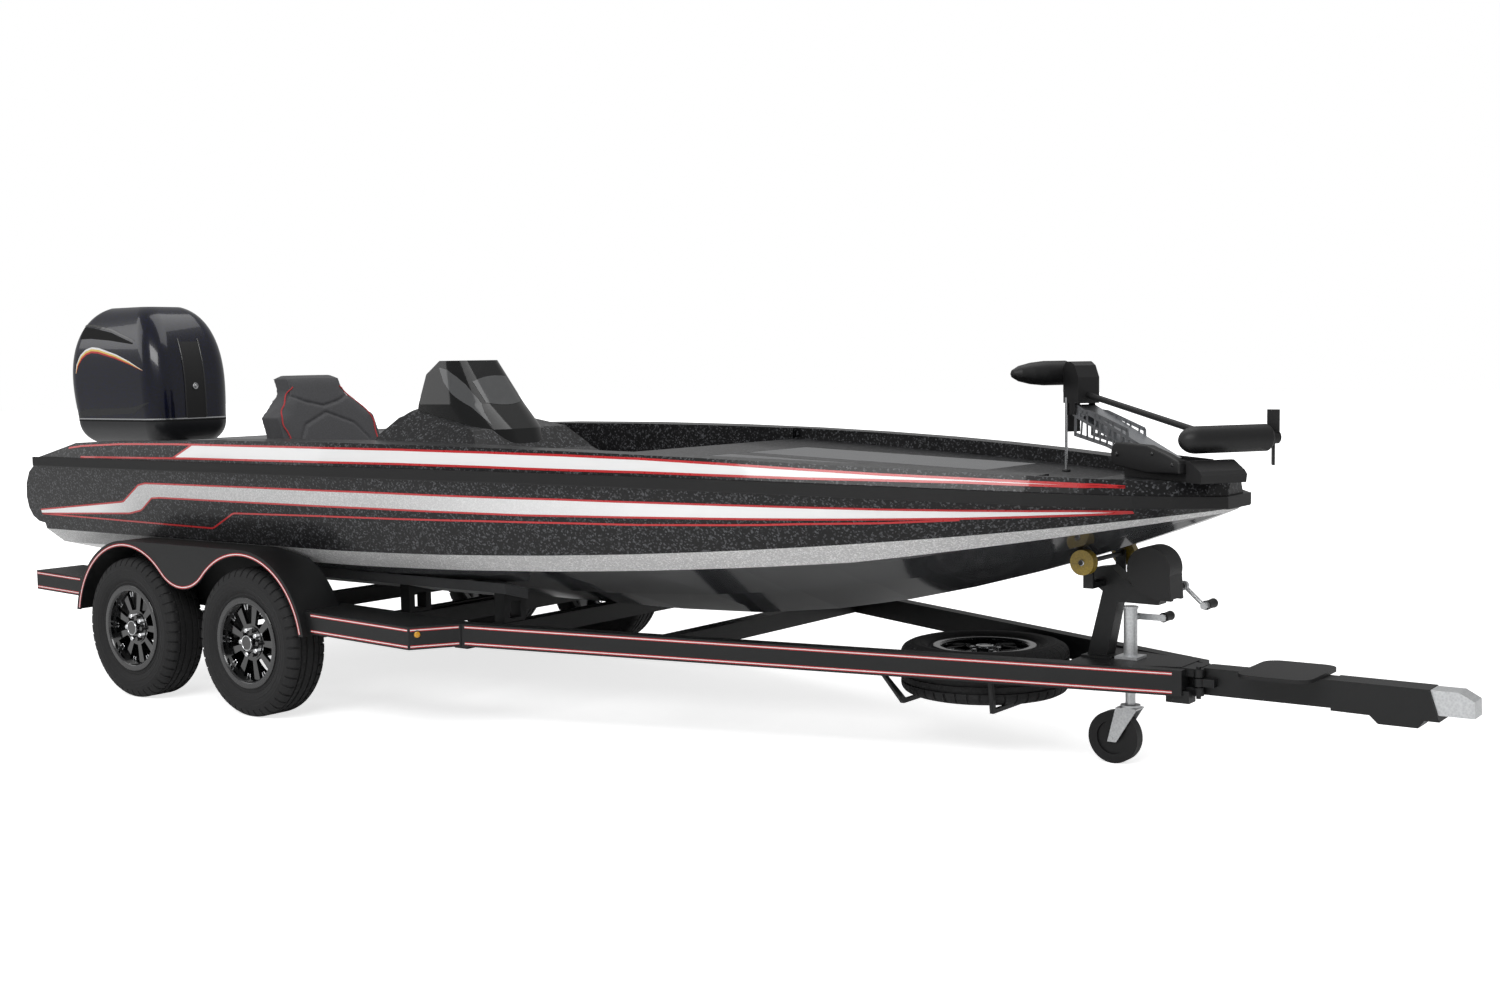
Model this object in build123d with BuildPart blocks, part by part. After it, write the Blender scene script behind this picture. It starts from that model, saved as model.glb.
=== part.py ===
from build123d import *
import math
import os

# Bass boat on its twin-axle bunk trailer.
# Millimetres. +X points to the bow, +Y to port, +Z up, ground at z = 0.
# Stations along the boat are given ahead of the middle between the axles.
os.makedirs("parts", exist_ok=True)

# Shared sizes
axle_mid_x = -1447.4          # where the middle between the axles lies
seat_gap = 0.3                # between pieces that are bolted or laid together
running_gap = 0.08            # radial, shaft in bore
moving_gap = 5.0              # between a moving piece and what it passes

# wheels and axles
axle_spacing = 875.0
overall_width = 2570.0
tyre_radius = 338.0
tyre_width = 205.0
tyre_bead_radius = 190.0
rim_flange_radius = 207.0
rim_width = 165.0
spindle_radius = 22.0
hub_radius = 62.0
lug_count = 5
lug_circle_radius = 57.0
spoke_count = 9
axle_tube = 60.0

# trailer frame
rail_height = 96.0
rail_width = 62.0
rail_tyre_gap = 25.0
rail_outer_half = overall_width / 2 - tyre_width - rail_tyre_gap
rail_slope = 0.0286           # fall of the rails towards the bow
rail_top_ref_z = 407.6        # rail top at the apex station
apex_station = 4395.0
apex_half = 135.0
bend_station = 1600.0
frame_rear_station = -1255.0
cross_tube = 76.0
tongue_half = 50.0
tongue_top_z = 410.0
tongue_height = 100.0
tongue_start = 4440.0
tongue_end = 5285.0

# fenders
fender_cover = 3.0              # how far the fender reaches past the tyre
fender_outer_half = overall_width / 2 + fender_cover
fender_sheet = 5.0
opening_radius = 395.0
fender_radius = 424.0
fender_foot_z = 402.0
valley_z = 556.0
step_width = 199.0
step_outer_half = rail_outer_half + step_width

# hull form
hull_beam = 2380.0
bow_start = 306.0
bow_tip = 4560.0
plan_power = 2.22
plan_root = 0.57
stern_station = -1560.0
sheer_z = 1100.0
sheer_drop = 90.0
keel_z = 455.0
keel_rise = 549.0
keel_rise_start = 2100.0
keel_power = 1.82
chine_z = 762.0
chine_rise = 245.0
chine_inset = 92.0
chine_flat = 96.0
chine_drop = 76.0
pad_half = 60.0
strake_width = 46.0
gunwale_z = 1241.0
gunwale_lean = 22.0
rail_bulge = 16.0
rub_low = 4.0
rub_high = 44.0
transom_top = -1337.0
transom_far = -1508.0
wall = 60.0

# decks and cockpit
coaming = 150.0
cockpit_aft = -60.0
cockpit_fore = 1930.0
cockpit_floor_z = 752.0
cockpit_half = 930.0
front_deck_aft_z = 1178.0
front_deck_fore_z = 1088.0
front_deck_end = 4060.0
rear_deck_z = 1200.0
rear_deck_aft = -1060.0
well_half = 350.0
well_fore = -1090.0
well_floor_z = 960.0
notch_fore = -1340.0
bow_pad_z = 1108.0
bow_pad_inset = 55.0
bow_pad_fore = 4440.0
troll_station = 4360.0
troll_y = -75.0
troll_heading = -34.0
lid_thickness = 14.0
lid_ledge = 24.0
front_lid_aft = 2280.0
front_lid_fore = 3480.0
lid_inner = 60.0
front_lid_outer = 520.0
front_locker_floor_z = 905.0
rear_lid_aft = -980.0
rear_lid_fore = -200.0
rear_lid_outer = 640.0
rear_locker_floor_z = 880.0


def at(station):
    return axle_mid_x + station


def block(x_lo, x_hi, y_lo, y_hi, z_lo, z_hi, mode=Mode.ADD):
    with Locations(((x_lo + x_hi) / 2, (y_lo + y_hi) / 2, (z_lo + z_hi) / 2)):
        Box(x_hi - x_lo, y_hi - y_lo, z_hi - z_lo, mode=mode)


def rod(start, end, radius, mode=Mode.ADD):
    run = Vector(*end) - Vector(*start)
    with BuildSketch(Plane(origin=start, z_dir=run)) as disc:
        Circle(radius)
    extrude(disc.sketch, amount=run.length, mode=mode)


def side_plate(points, y_lo, y_hi, mode=Mode.ADD):
    with BuildSketch(Plane.XZ.offset(-y_hi)) as outline_face:
        with BuildLine():
            Polyline(*points, close=True)
        make_face()
    extrude(outline_face.sketch, amount=y_hi - y_lo, mode=mode)


def plan_plate(points, z_lo, z_hi, mode=Mode.ADD):
    with BuildSketch(Plane.XY.offset(z_lo)) as plan_face:
        with BuildLine():
            Polyline(*points, close=True)
        make_face()
    extrude(plan_face.sketch, amount=z_hi - z_lo, mode=mode)


# Hull lines
def half_beam(station):
    if station <= bow_start:
        return hull_beam / 2
    share = (station - bow_start) / (bow_tip - bow_start)
    return hull_beam / 2 * (1 - share**plan_power) ** plan_root


def sheer(station):
    share = max(0.0, (station - 1300.0) / (bow_tip - 1300.0))
    return sheer_z - sheer_drop * share**2.2


def keel(station):
    share = max(0.0, (station - keel_rise_start) / (bow_tip - keel_rise_start))
    return keel_z + keel_rise * share**keel_power


def chine(station):
    share = max(0.0, (station - 600.0) / (bow_tip - 600.0))
    return chine_z + chine_rise * share**2


def gunwale(station):
    metres = station / 1000.0
    return gunwale_z + 14.1 * metres - 9.8 * metres**2


hull_stations = [-1560, -800, 300, 900, 1500, 2000, 2450, 2850, 3200, 3500]
hull_stations += [3760, 3980, 4160, 4310, 4420, 4500, 4545]


def hull_section(station, extra=0.0):
    beam = half_beam(station)
    slope = (half_beam(station + 5.0) - half_beam(station - 5.0)) / 10.0
    grow = extra * min(2.5, math.sqrt(1 + slope**2))
    taper = min(1.0, beam / 700.0)
    side = beam + grow
    chine_half = beam - chine_inset * (0.35 + 0.65 * taper) * min(1.0, beam / 250.0) + grow
    flat_half = max(chine_half - chine_flat * taper, 0.55 * chine_half)
    flat_z = chine(station) - chine_drop * taper * min(1.0, (bow_tip + 400 - station) / 1500.0)
    bottom = keel(station) - extra
    flat_z = max(flat_z, bottom + 4.0)
    pad = min(pad_half, 0.4 * flat_half)
    strake_out = pad + 0.52 * (flat_half - pad)
    strake_z = bottom + (flat_z - bottom) * 0.47
    strake_in = strake_out - strake_width * taper
    top = gunwale(station)
    lean = min(gunwale_lean, 0.3 * beam)
    half = [
        (pad, bottom),
        (strake_in, strake_z),
        (strake_out, strake_z + 1.0),
        (flat_half, flat_z),
        (chine_half, max(chine(station), flat_z + 3.0)),
        (side, sheer(station)),
        (side, sheer(station) + rub_high),
        (side - lean, top),
    ]
    right = [(-y, z) for y, z in half]
    return half + right[::-1]


def bottom_z(station, y):
    aft = max(s for s in hull_stations if s <= station)
    fore = min(s for s in hull_stations if s > station)
    heights = []
    for s in (aft, fore):
        line = hull_section(s)[:5]
        index = max(n for n in range(4) if n == 0 or line[n][0] <= y)
        (y_in, z_in), (y_out, z_out) = line[index], line[index + 1]
        heights.append(z_in + (max(y, y_in) - y_in) * (z_out - z_in) / (y_out - y_in))
    return heights[0] + (heights[1] - heights[0]) * (station - aft) / (fore - aft)


def hull_form(extra=0.0):
    sections = []
    for station in hull_stations:
        reach = extra if station == hull_stations[-1] else 0.0
        with BuildSketch(Plane.YZ.offset(at(station) + reach)) as section:
            with BuildLine():
                Polyline(*hull_section(station, extra), close=True)
            make_face()
        sections.append(section.sketch.face())
    loft(sections, ruled=True)


def sheer_points(rise=0.0):
    return [(at(s), sheer(s) + rise) for s in hull_stations]


def outline(inset, aft, fore, limit=None):
    inner = [s for s in hull_stations if aft < s < fore]
    run = [aft] + inner + [fore]
    half = []
    for s in run:
        y = half_beam(s) - inset
        half.append((at(s), min(y, limit) if limit else y))
    return half + [(x, -y) for x, y in reversed(half)]


front_deck_fall = (front_deck_aft_z - front_deck_fore_z) / (front_deck_end - cockpit_fore)


def front_deck(station):
    return front_deck_aft_z - front_deck_fall * (station - cockpit_fore)


# Hull
stern_low = [
    (at(transom_far) - 200, 300),
    (at(-1400), 300),
    (at(-1400), 792),
    (at(-1452), 800),
    (at(-1492), 826),
    (at(transom_far), 872),
    (at(-1498), 930),
    (at(-1462), 1000),
    (at(-1405), 1062),
    (at(transom_top), sheer_z),
    (at(transom_top), 1130),
    (at(-870), 1246),
    (at(-870), 1700),
    (at(transom_far) - 200, 1700),
]

with BuildPart() as hull:
    hull_form()
    side_plate(
        sheer_points() + [(at(4700), 1000), (at(4700), 1700), (at(-1800), 1700)],
        -2000,
        2000,
        mode=Mode.SUBTRACT,
    )
    side_plate(stern_low, -2000, 2000, mode=Mode.SUBTRACT)
    # cockpit
    plan_plate(outline(coaming, cockpit_aft, cockpit_fore, cockpit_half), cockpit_floor_z, 1400, mode=Mode.SUBTRACT)
    # engine well and the notch between the stern pods
    block(at(-1700), at(well_fore), -well_half, well_half, well_floor_z, 1400, mode=Mode.SUBTRACT)
    block(at(-1700), at(notch_fore), -well_half, well_half, 200, 1400, mode=Mode.SUBTRACT)
    # lockers
    for side in (-1, 1):
        y_pair = sorted((side * (lid_inner + lid_ledge), side * (front_lid_outer - lid_ledge)))
        block(
            at(front_lid_aft + lid_ledge),
            at(front_lid_fore - lid_ledge),
            y_pair[0],
            y_pair[1],
            front_locker_floor_z,
            1400,
            mode=Mode.SUBTRACT,
        )
        y_pair = sorted((side * (lid_inner + lid_ledge), side * (rear_lid_outer - lid_ledge)))
        block(
            at(rear_lid_aft + lid_ledge),
            at(rear_lid_fore - lid_ledge),
            y_pair[0],
            y_pair[1],
            rear_locker_floor_z,
            1400,
            mode=Mode.SUBTRACT,
        )
hull.part.label = "hull"
export_step(hull.part, "parts/hull.step")

# Space above the sunken front deck
with BuildPart() as front_sink:
    plan_plate(outline(coaming, cockpit_fore - 10, front_deck_end), 1000, 1400)
    side_plate(
        [
            (at(cockpit_fore - 20), 900),
            (at(front_deck_end + 100), 900),
            (at(front_deck_end + 100), front_deck(front_deck_end + 100)),
            (at(cockpit_fore - 20), front_deck(cockpit_fore - 20)),
        ],
        -2000,
        2000,
        mode=Mode.SUBTRACT,
    )

# Deck cap
with BuildPart() as deck_cap:
    hull_form()
    side_plate(
        sheer_points(seat_gap) + [(at(4700), 1000), (at(4700), 200), (at(-1800), 200), (at(-1800), sheer_z)],
        -2000,
        2000,
        mode=Mode.SUBTRACT,
    )
    side_plate(stern_low, -2000, 2000, mode=Mode.SUBTRACT)
    plan_plate(outline(coaming, cockpit_aft, cockpit_fore, cockpit_half), 1000, 1400, mode=Mode.SUBTRACT)
    block(at(-1700), at(well_fore), -well_half, well_half, 900, 1400, mode=Mode.SUBTRACT)
    # sunken front deck
    add(front_sink.part, mode=Mode.SUBTRACT)
    # level pad at the bow for the trolling motor
    plan_plate(outline(bow_pad_inset, front_deck_end - 60, bow_pad_fore), bow_pad_z, 1400, mode=Mode.SUBTRACT)
    with Locations(Location((at(troll_station), troll_y, bow_pad_z + 100), (0, 0, troll_heading))):
        Box(600, 240, 200, mode=Mode.SUBTRACT)
    # sunken rear deck
    plan_plate(outline(coaming, rear_deck_aft, cockpit_aft + 10), rear_deck_z, 1400, mode=Mode.SUBTRACT)
    # lid seats and locker mouths
    for side in (-1, 1):
        y_pair = sorted((side * lid_inner, side * front_lid_outer))
        side_plate(
            [
                (at(front_lid_aft), front_deck(front_lid_aft) - lid_thickness),
                (at(front_lid_fore), front_deck(front_lid_fore) - lid_thickness),
                (at(front_lid_fore), 1300),
                (at(front_lid_aft), 1300),
            ],
            y_pair[0],
            y_pair[1],
            mode=Mode.SUBTRACT,
        )
        y_pair = sorted((side * (lid_inner + lid_ledge), side * (front_lid_outer - lid_ledge)))
        block(
            at(front_lid_aft + lid_ledge),
            at(front_lid_fore - lid_ledge),
            y_pair[0],
            y_pair[1],
            900,
            1400,
            mode=Mode.SUBTRACT,
        )
        y_pair = sorted((side * lid_inner, side * rear_lid_outer))
        block(
            at(rear_lid_aft),
            at(rear_lid_fore),
            y_pair[0],
            y_pair[1],
            rear_deck_z - lid_thickness,
            1400,
            mode=Mode.SUBTRACT,
        )
        y_pair = sorted((side * (lid_inner + lid_ledge), side * (rear_lid_outer - lid_ledge)))
        block(
            at(rear_lid_aft + lid_ledge),
            at(rear_lid_fore - lid_ledge),
            y_pair[0],
            y_pair[1],
            900,
            1400,
            mode=Mode.SUBTRACT,
        )
deck_cap.part.label = "deck_cap"
export_step(deck_cap.part, "parts/deck_cap.step")

# Rub rail, a rounded band around the joint of hull and deck cap
with BuildPart() as rub_core:
    hull_form(seat_gap)

with BuildPart() as rub_rail:
    hull_form(rail_bulge)
    side_plate(
        [(x, z - rub_low) for x, z in sheer_points()] + [(at(4700), 1005), (at(4700), 0), (at(-1800), 0), (at(-1800), 1090)],
        -2000,
        2000,
        mode=Mode.SUBTRACT,
    )
    side_plate(
        [(x, z + rub_high - 2) for x, z in sheer_points()] + [(at(4700), 1055), (at(4700), 1800), (at(-1800), 1800), (at(-1800), 1140)],
        -2000,
        2000,
        mode=Mode.SUBTRACT,
    )
    block(at(-1700), at(transom_top + 12), -2000, 2000, 900, 1300, mode=Mode.SUBTRACT)
    add(rub_core.part, mode=Mode.SUBTRACT)
rub_rail.part.label = "rub_rail"
export_step(rub_rail.part, "parts/rub_rail.step")

# Lids
for side, tag in ((-1, "starboard"), (1, "port")):
    inner = lid_inner + moving_gap
    outer = front_lid_outer - moving_gap
    y_pair = sorted((side * inner, side * outer))
    aft = front_lid_aft + moving_gap
    fore = front_lid_fore - moving_gap
    with BuildPart() as front_lid:
        side_plate(
            [
                (at(aft), front_deck(aft) - lid_thickness + seat_gap),
                (at(fore), front_deck(fore) - lid_thickness + seat_gap),
                (at(fore), front_deck(fore)),
                (at(aft), front_deck(aft)),
            ],
            y_pair[0],
            y_pair[1],
        )
    front_lid.part.label = "front_lid_" + tag
    export_step(front_lid.part, "parts/front_lid_" + tag + ".step")
    y_pair = sorted((side * inner, side * (rear_lid_outer - moving_gap)))
    with BuildPart() as rear_lid:
        block(
            at(rear_lid_aft + moving_gap),
            at(rear_lid_fore - moving_gap),
            y_pair[0],
            y_pair[1],
            rear_deck_z - lid_thickness + seat_gap,
            rear_deck_z,
        )
    rear_lid.part.label = "rear_lid_" + tag
    export_step(rear_lid.part, "parts/rear_lid_" + tag + ".step")


# Trailer frame
def rail_top(station):
    return rail_top_ref_z + rail_slope * (apex_station - station)


def rail_band():
    side_plate(
        [
            (at(-1800), rail_top(-1800)),
            (at(4500), rail_top(4500)),
            (at(4500), rail_top(4500) - rail_height),
            (at(-1800), rail_top(-1800) - rail_height),
        ],
        -2000,
        2000,
        mode=Mode.INTERSECT,
    )


rail_angle = math.atan((rail_outer_half - apex_half) / (apex_station - bend_station))
rail_slant = rail_width / math.cos(rail_angle)
rail_inner_half = rail_outer_half - rail_width


def rail_outer(station):
    return apex_half + (apex_station - station) * math.tan(rail_angle)


def rail_inner(station):
    if station < bend_station:
        return rail_inner_half
    return rail_outer(station) - rail_slant


cross_top_z = keel_z - 8.0
cross_stations = [-1120, 0, 900, 1500, 2350]
post_station = 4040.0
jack_station = 4135.0
jack_tube_radius = 26.0
jack_leg_radius = 19.0
pin_station = tongue_start - 3.0
pin_y = -(tongue_half + 25.0)
pin_radius = 9.0
knuckle_radius = 20.0

with BuildPart() as trailer_frame:
    miter = rail_width * math.tan(rail_angle / 2)
    for side in (-1, 1):
        plan_plate(
            [
                (at(frame_rear_station), side * rail_outer_half),
                (at(bend_station), side * rail_outer_half),
                (at(apex_station), side * apex_half),
                (at(apex_station), side * (apex_half - rail_slant)),
                (at(bend_station - miter), side * rail_inner_half),
                (at(frame_rear_station), side * rail_inner_half),
            ],
            200,
            800,
        )
    rail_band()
    for station in cross_stations:
        half = rail_inner(station + cross_tube / 2) + 10
        if rail_top(station) - rail_height > cross_top_z - 40:
            half = rail_outer_half
            for side in (-1, 1):
                y_pair = sorted((side * rail_inner_half, side * rail_outer_half))
                block(
                    at(station),
                    at(station + cross_tube),
                    y_pair[0],
                    y_pair[1],
                    cross_top_z - cross_tube,
                    rail_top(station + cross_tube) - 10,
                )
        block(at(station), at(station + cross_tube), -half, half, cross_top_z - cross_tube, cross_top_z)
    # apex plate that carries the winch post and the jack
    plate_half_aft = rail_inner(3960) + 10
    plate_fore = apex_station - 20
    plate_half_fore = rail_inner(plate_fore) + 10
    for z in (rail_top(4100) - 14, rail_top(4100) - rail_height + 4):
        plan_plate(
            [
                (at(3960), -plate_half_aft),
                (at(plate_fore), -plate_half_fore),
                (at(plate_fore), plate_half_fore),
                (at(3960), plate_half_aft),
            ],
            z,
            z + 10,
        )
    block(at(4290), at(tongue_start - 6), -tongue_half, tongue_half, tongue_top_z - tongue_height, tongue_top_z)
    rod((at(jack_station), 0, 200), (at(jack_station), 0, 600), jack_tube_radius + seat_gap, mode=Mode.SUBTRACT)
    block(at(4330), at(4420), -apex_half + 10, -tongue_half - 12, tongue_top_z - tongue_height - 26, tongue_top_z - 80)
    # hinge ears and pin of the swing tongue
    for z in (tongue_top_z - tongue_height, tongue_top_z - 30):
        rod((at(pin_station), pin_y, z), (at(pin_station), pin_y, z + 30), knuckle_radius)
        block(at(pin_station - 75), at(pin_station - 4), pin_y - 14, -tongue_half + 5, z, z + 30)
    rod(
        (at(pin_station), pin_y, tongue_top_z - tongue_height - 12),
        (at(pin_station), pin_y, tongue_top_z + 8),
        pin_radius,
    )
trailer_frame.part.label = "trailer_frame"
export_step(trailer_frame.part, "parts/trailer_frame.step")


# Bunks lie on the flat panels between strake and chine
def panel_z(y):
    inner, outer = hull_section(0.0)[2], hull_section(0.0)[3]
    return inner[1] + (y - inner[0]) * (outer[1] - inner[1]) / (outer[0] - inner[0])


bunk_inner = 630.0
bunk_outer = 770.0
bunk_thickness = 44.0
bunk_aft = -1200.0
bunk_fore = 1580.0
with BuildPart() as bunks:
    for side in (-1, 1):
        with BuildSketch(Plane.YZ.offset(at(bunk_aft))):
            with BuildLine():
                Polyline(
                    (side * bunk_inner, panel_z(bunk_inner) - seat_gap),
                    (side * bunk_outer, panel_z(bunk_outer) - seat_gap),
                    (side * bunk_outer, panel_z(bunk_outer) - bunk_thickness),
                    (side * bunk_inner, panel_z(bunk_inner) - bunk_thickness),
                    close=True,
                )
            make_face()
        extrude(amount=bunk_fore - bunk_aft)
bunks.part.label = "bunks"
export_step(bunks.part, "parts/bunks.step")

bracket_width = 60.0
with BuildPart() as bunk_brackets:
    for side in (-1, 1):
        for station in cross_stations[:4]:
            y_mid = (bunk_inner + bunk_outer) / 2
            with BuildSketch(Plane.YZ.offset(at(station + 8))):
                with BuildLine():
                    Polyline(
                        (side * (bunk_inner + 4), cross_top_z + seat_gap),
                        (side * (bunk_outer - 4), cross_top_z + seat_gap),
                        (side * (bunk_outer - 4), panel_z(bunk_outer - 4) - bunk_thickness - seat_gap),
                        (side * (bunk_inner + 4), panel_z(bunk_inner + 4) - bunk_thickness - seat_gap),
                        close=True,
                    )
                make_face()
            extrude(amount=bracket_width)
            window = 34.0
            block(
                at(station),
                at(station + cross_tube),
                side * y_mid - window,
                side * y_mid + window,
                cross_top_z + 18,
                panel_z(y_mid) - bunk_thickness - 24,
                mode=Mode.SUBTRACT,
            )
bunk_brackets.part.label = "bunk_brackets"
export_step(bunk_brackets.part, "parts/bunk_brackets.step")

# Axles
with BuildPart() as axles:
    half = axle_tube / 2
    wheel_mid = overall_width / 2 - tyre_width / 2
    for station in (axle_spacing / 2, -axle_spacing / 2):
        block(
            at(station - half),
            at(station + half),
            -rail_outer_half,
            rail_outer_half,
            tyre_radius - half,
            tyre_radius + half,
        )
        for side in (-1, 1):
            y_pair = sorted((side * (rail_inner_half + 4), side * (rail_outer_half - 4)))
            block(
                at(station - 55),
                at(station + 55),
                y_pair[0],
                y_pair[1],
                tyre_radius + half,
                rail_top(station + 55) - rail_height - seat_gap,
            )
            rod(
                (at(station), side * (rail_outer_half - 2), tyre_radius),
                (at(station), side * (wheel_mid + 40), tyre_radius),
                spindle_radius,
            )
axles.part.label = "axles"
export_step(axles.part, "parts/axles.step")

# Wheels, built around Y with the outer side towards +Y
bead = rim_width / 2
with BuildPart() as tyre_form:
    with BuildSketch():
        with BuildLine():
            Polyline(
                (tyre_bead_radius + seat_gap, -bead + 0.3),
                (rim_flange_radius + 6, -bead + 0.3),
                (250, -tyre_width / 2 + 3),
                (280, -tyre_width / 2),
                (305, -tyre_width / 2 + 4),
                (tyre_radius - 14, -tyre_width / 2 + 14),
                (tyre_radius - 3, -tyre_width / 2 + 28),
                (tyre_radius, -tyre_width / 2 + 42),
                (tyre_radius, tyre_width / 2 - 42),
                (tyre_radius - 3, tyre_width / 2 - 28),
                (tyre_radius - 14, tyre_width / 2 - 14),
                (305, tyre_width / 2 - 4),
                (280, tyre_width / 2),
                (250, tyre_width / 2 - 3),
                (rim_flange_radius + 6, bead - 0.3),
                (tyre_bead_radius + seat_gap, bead - 0.3),
                close=True,
            )
        make_face()
    revolve(axis=Axis.Y)

rim_wall = 8.0
flange_width = 6.0
dish_y = 40.0
dish_thickness = 16.0
window_in = 84.0
window_out = 168.0
cap_radius = 33.0
with BuildPart() as rim_form:
    with BuildSketch():
        with BuildLine():
            Polyline(
                (tyre_bead_radius - rim_wall, -bead - flange_width),
                (rim_flange_radius, -bead - flange_width),
                (rim_flange_radius, -bead),
                (tyre_bead_radius, -bead),
                (tyre_bead_radius, bead),
                (rim_flange_radius, bead),
                (rim_flange_radius, bead + flange_width),
                (tyre_bead_radius - rim_wall, bead + flange_width),
                close=True,
            )
        make_face()
    revolve(axis=Axis.Y)
    rod((0, dish_y, 0), (0, dish_y + dish_thickness, 0), tyre_bead_radius - rim_wall + 1)
    rod((0, -70, 0), (0, dish_y + dish_thickness + 4, 0), hub_radius + 12)
    with BuildSketch(Plane.XZ.offset(-dish_y - dish_thickness - 1)):
        with PolarLocations((window_in + window_out) / 2, spoke_count):
            Trapezoid(82, window_out - window_in, 74, rotation=90)
    extrude(amount=dish_thickness + 2, mode=Mode.SUBTRACT)
    rod((0, dish_y, 0), (0, dish_y + 44, 0), cap_radius)
    for count in range(lug_count):
        turn = 2 * math.pi * (count + 0.5) / lug_count
        x, z = lug_circle_radius * math.cos(turn), lug_circle_radius * math.sin(turn)
        rod((x, dish_y, z), (x, dish_y + dish_thickness + 18, z), 10)
    rod((0, -80, 0), (0, dish_y + 4, 0), spindle_radius + running_gap, mode=Mode.SUBTRACT)

wheel_mid = overall_width / 2 - tyre_width / 2
for x_side, x_tag in ((1, "front"), (-1, "rear")):
    for side, y_tag in ((-1, "starboard"), (1, "port")):
        spot = (at(x_side * axle_spacing / 2), side * wheel_mid, tyre_radius)
        turn = 0 if side > 0 else 180
        with BuildPart() as tyre:
            with Locations(Location(spot, (0, 0, turn))):
                add(tyre_form.part)
        tyre.part.label = "tyre_" + y_tag + "_" + x_tag
        export_step(tyre.part, "parts/tyre_" + y_tag + "_" + x_tag + ".step")
        with BuildPart() as rim:
            with Locations(Location(spot, (0, 0, turn))):
                add(rim_form.part)
        rim.part.label = "rim_" + y_tag + "_" + x_tag
        export_step(rim.part, "parts/rim_" + y_tag + "_" + x_tag + ".step")

# Spare wheel lies flat under the rails on its carrier
spare_station = 3505.0
spare_z = 322.0
carrier_bar = 16.0
carrier_reach = 200.0
carrier_low_half = 292.0
with BuildPart() as spare_tyre:
    with Locations(Location((at(spare_station), 0, spare_z), (90, 0, 0))):
        add(tyre_form.part)
spare_tyre.part.label = "spare_tyre"
export_step(spare_tyre.part, "parts/spare_tyre.step")
with BuildPart() as spare_rim:
    with Locations(Location((at(spare_station), 0, spare_z), (90, 0, 0))):
        add(rim_form.part)
spare_rim.part.label = "spare_rim"
export_step(spare_rim.part, "parts/spare_rim.step")
with BuildPart() as spare_carrier:
    bar_top = spare_z - tyre_width / 2 - seat_gap
    for station in (spare_station - carrier_reach, spare_station + carrier_reach):
        hang_z = rail_top(station + carrier_bar / 2) - rail_height - seat_gap
        hang_half = rail_inner(station) + 12
        with BuildSketch(Plane.YZ.offset(at(station - carrier_bar / 2))):
            with BuildLine():
                Polyline(
                    (hang_half, hang_z),
                    (carrier_low_half, bar_top),
                    (-carrier_low_half, bar_top),
                    (-hang_half, hang_z),
                    (-hang_half - 1.3 * carrier_bar, hang_z),
                    (-carrier_low_half - 1.3 * carrier_bar, bar_top - carrier_bar),
                    (carrier_low_half + 1.3 * carrier_bar, bar_top - carrier_bar),
                    (hang_half + 1.3 * carrier_bar, hang_z),
                    close=True,
                )
            make_face()
        extrude(amount=carrier_bar)
spare_carrier.part.label = "spare_carrier"
export_step(spare_carrier.part, "parts/spare_carrier.step")

# Fenders with their step plates
valley = valley_z - tyre_radius
valley_radius = ((axle_spacing / 2) ** 2 + valley**2 - opening_radius**2) / (2 * (opening_radius - valley))
valley_share = opening_radius / (opening_radius + valley_radius)
valley_half = axle_spacing / 2 * (1 - valley_share)
valley_top = tyre_radius + (valley + valley_radius) * valley_share


def arch_plate(radius, y_lo, y_hi, mode=Mode.ADD):
    with BuildSketch(Plane.XZ.offset(-y_hi)) as arch:
        for x in (-axle_spacing / 2, axle_spacing / 2):
            with Locations((at(x), tyre_radius)):
                Circle(radius)
        with Locations((at(0), tyre_radius)):
            Rectangle(axle_spacing, radius, align=(Align.CENTER, Align.MIN))
        with Locations((at(0), tyre_radius)):
            Rectangle(axle_spacing + 2 * radius, tyre_radius, align=(Align.CENTER, Align.MAX))
    extrude(arch.sketch, amount=y_hi - y_lo, mode=mode)


def chine_cut(drop):
    (flat_y, flat_at), (edge_y, edge_at) = hull_section(0.0)[3:5]
    rise = (edge_at - flat_at) / (edge_y - flat_y)
    with BuildSketch(Plane.YZ.offset(at(-1400))) as wedge:
        with BuildLine():
            Polyline(
                (flat_y - 60, flat_at - 60 * rise - drop),
                (edge_y + 8, edge_at + 8 * rise - drop),
                (edge_y + 8, 1000),
                (flat_y - 60, 1000),
                close=True,
            )
        make_face()
    extrude(wedge.sketch, amount=2800, mode=Mode.SUBTRACT)


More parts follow.
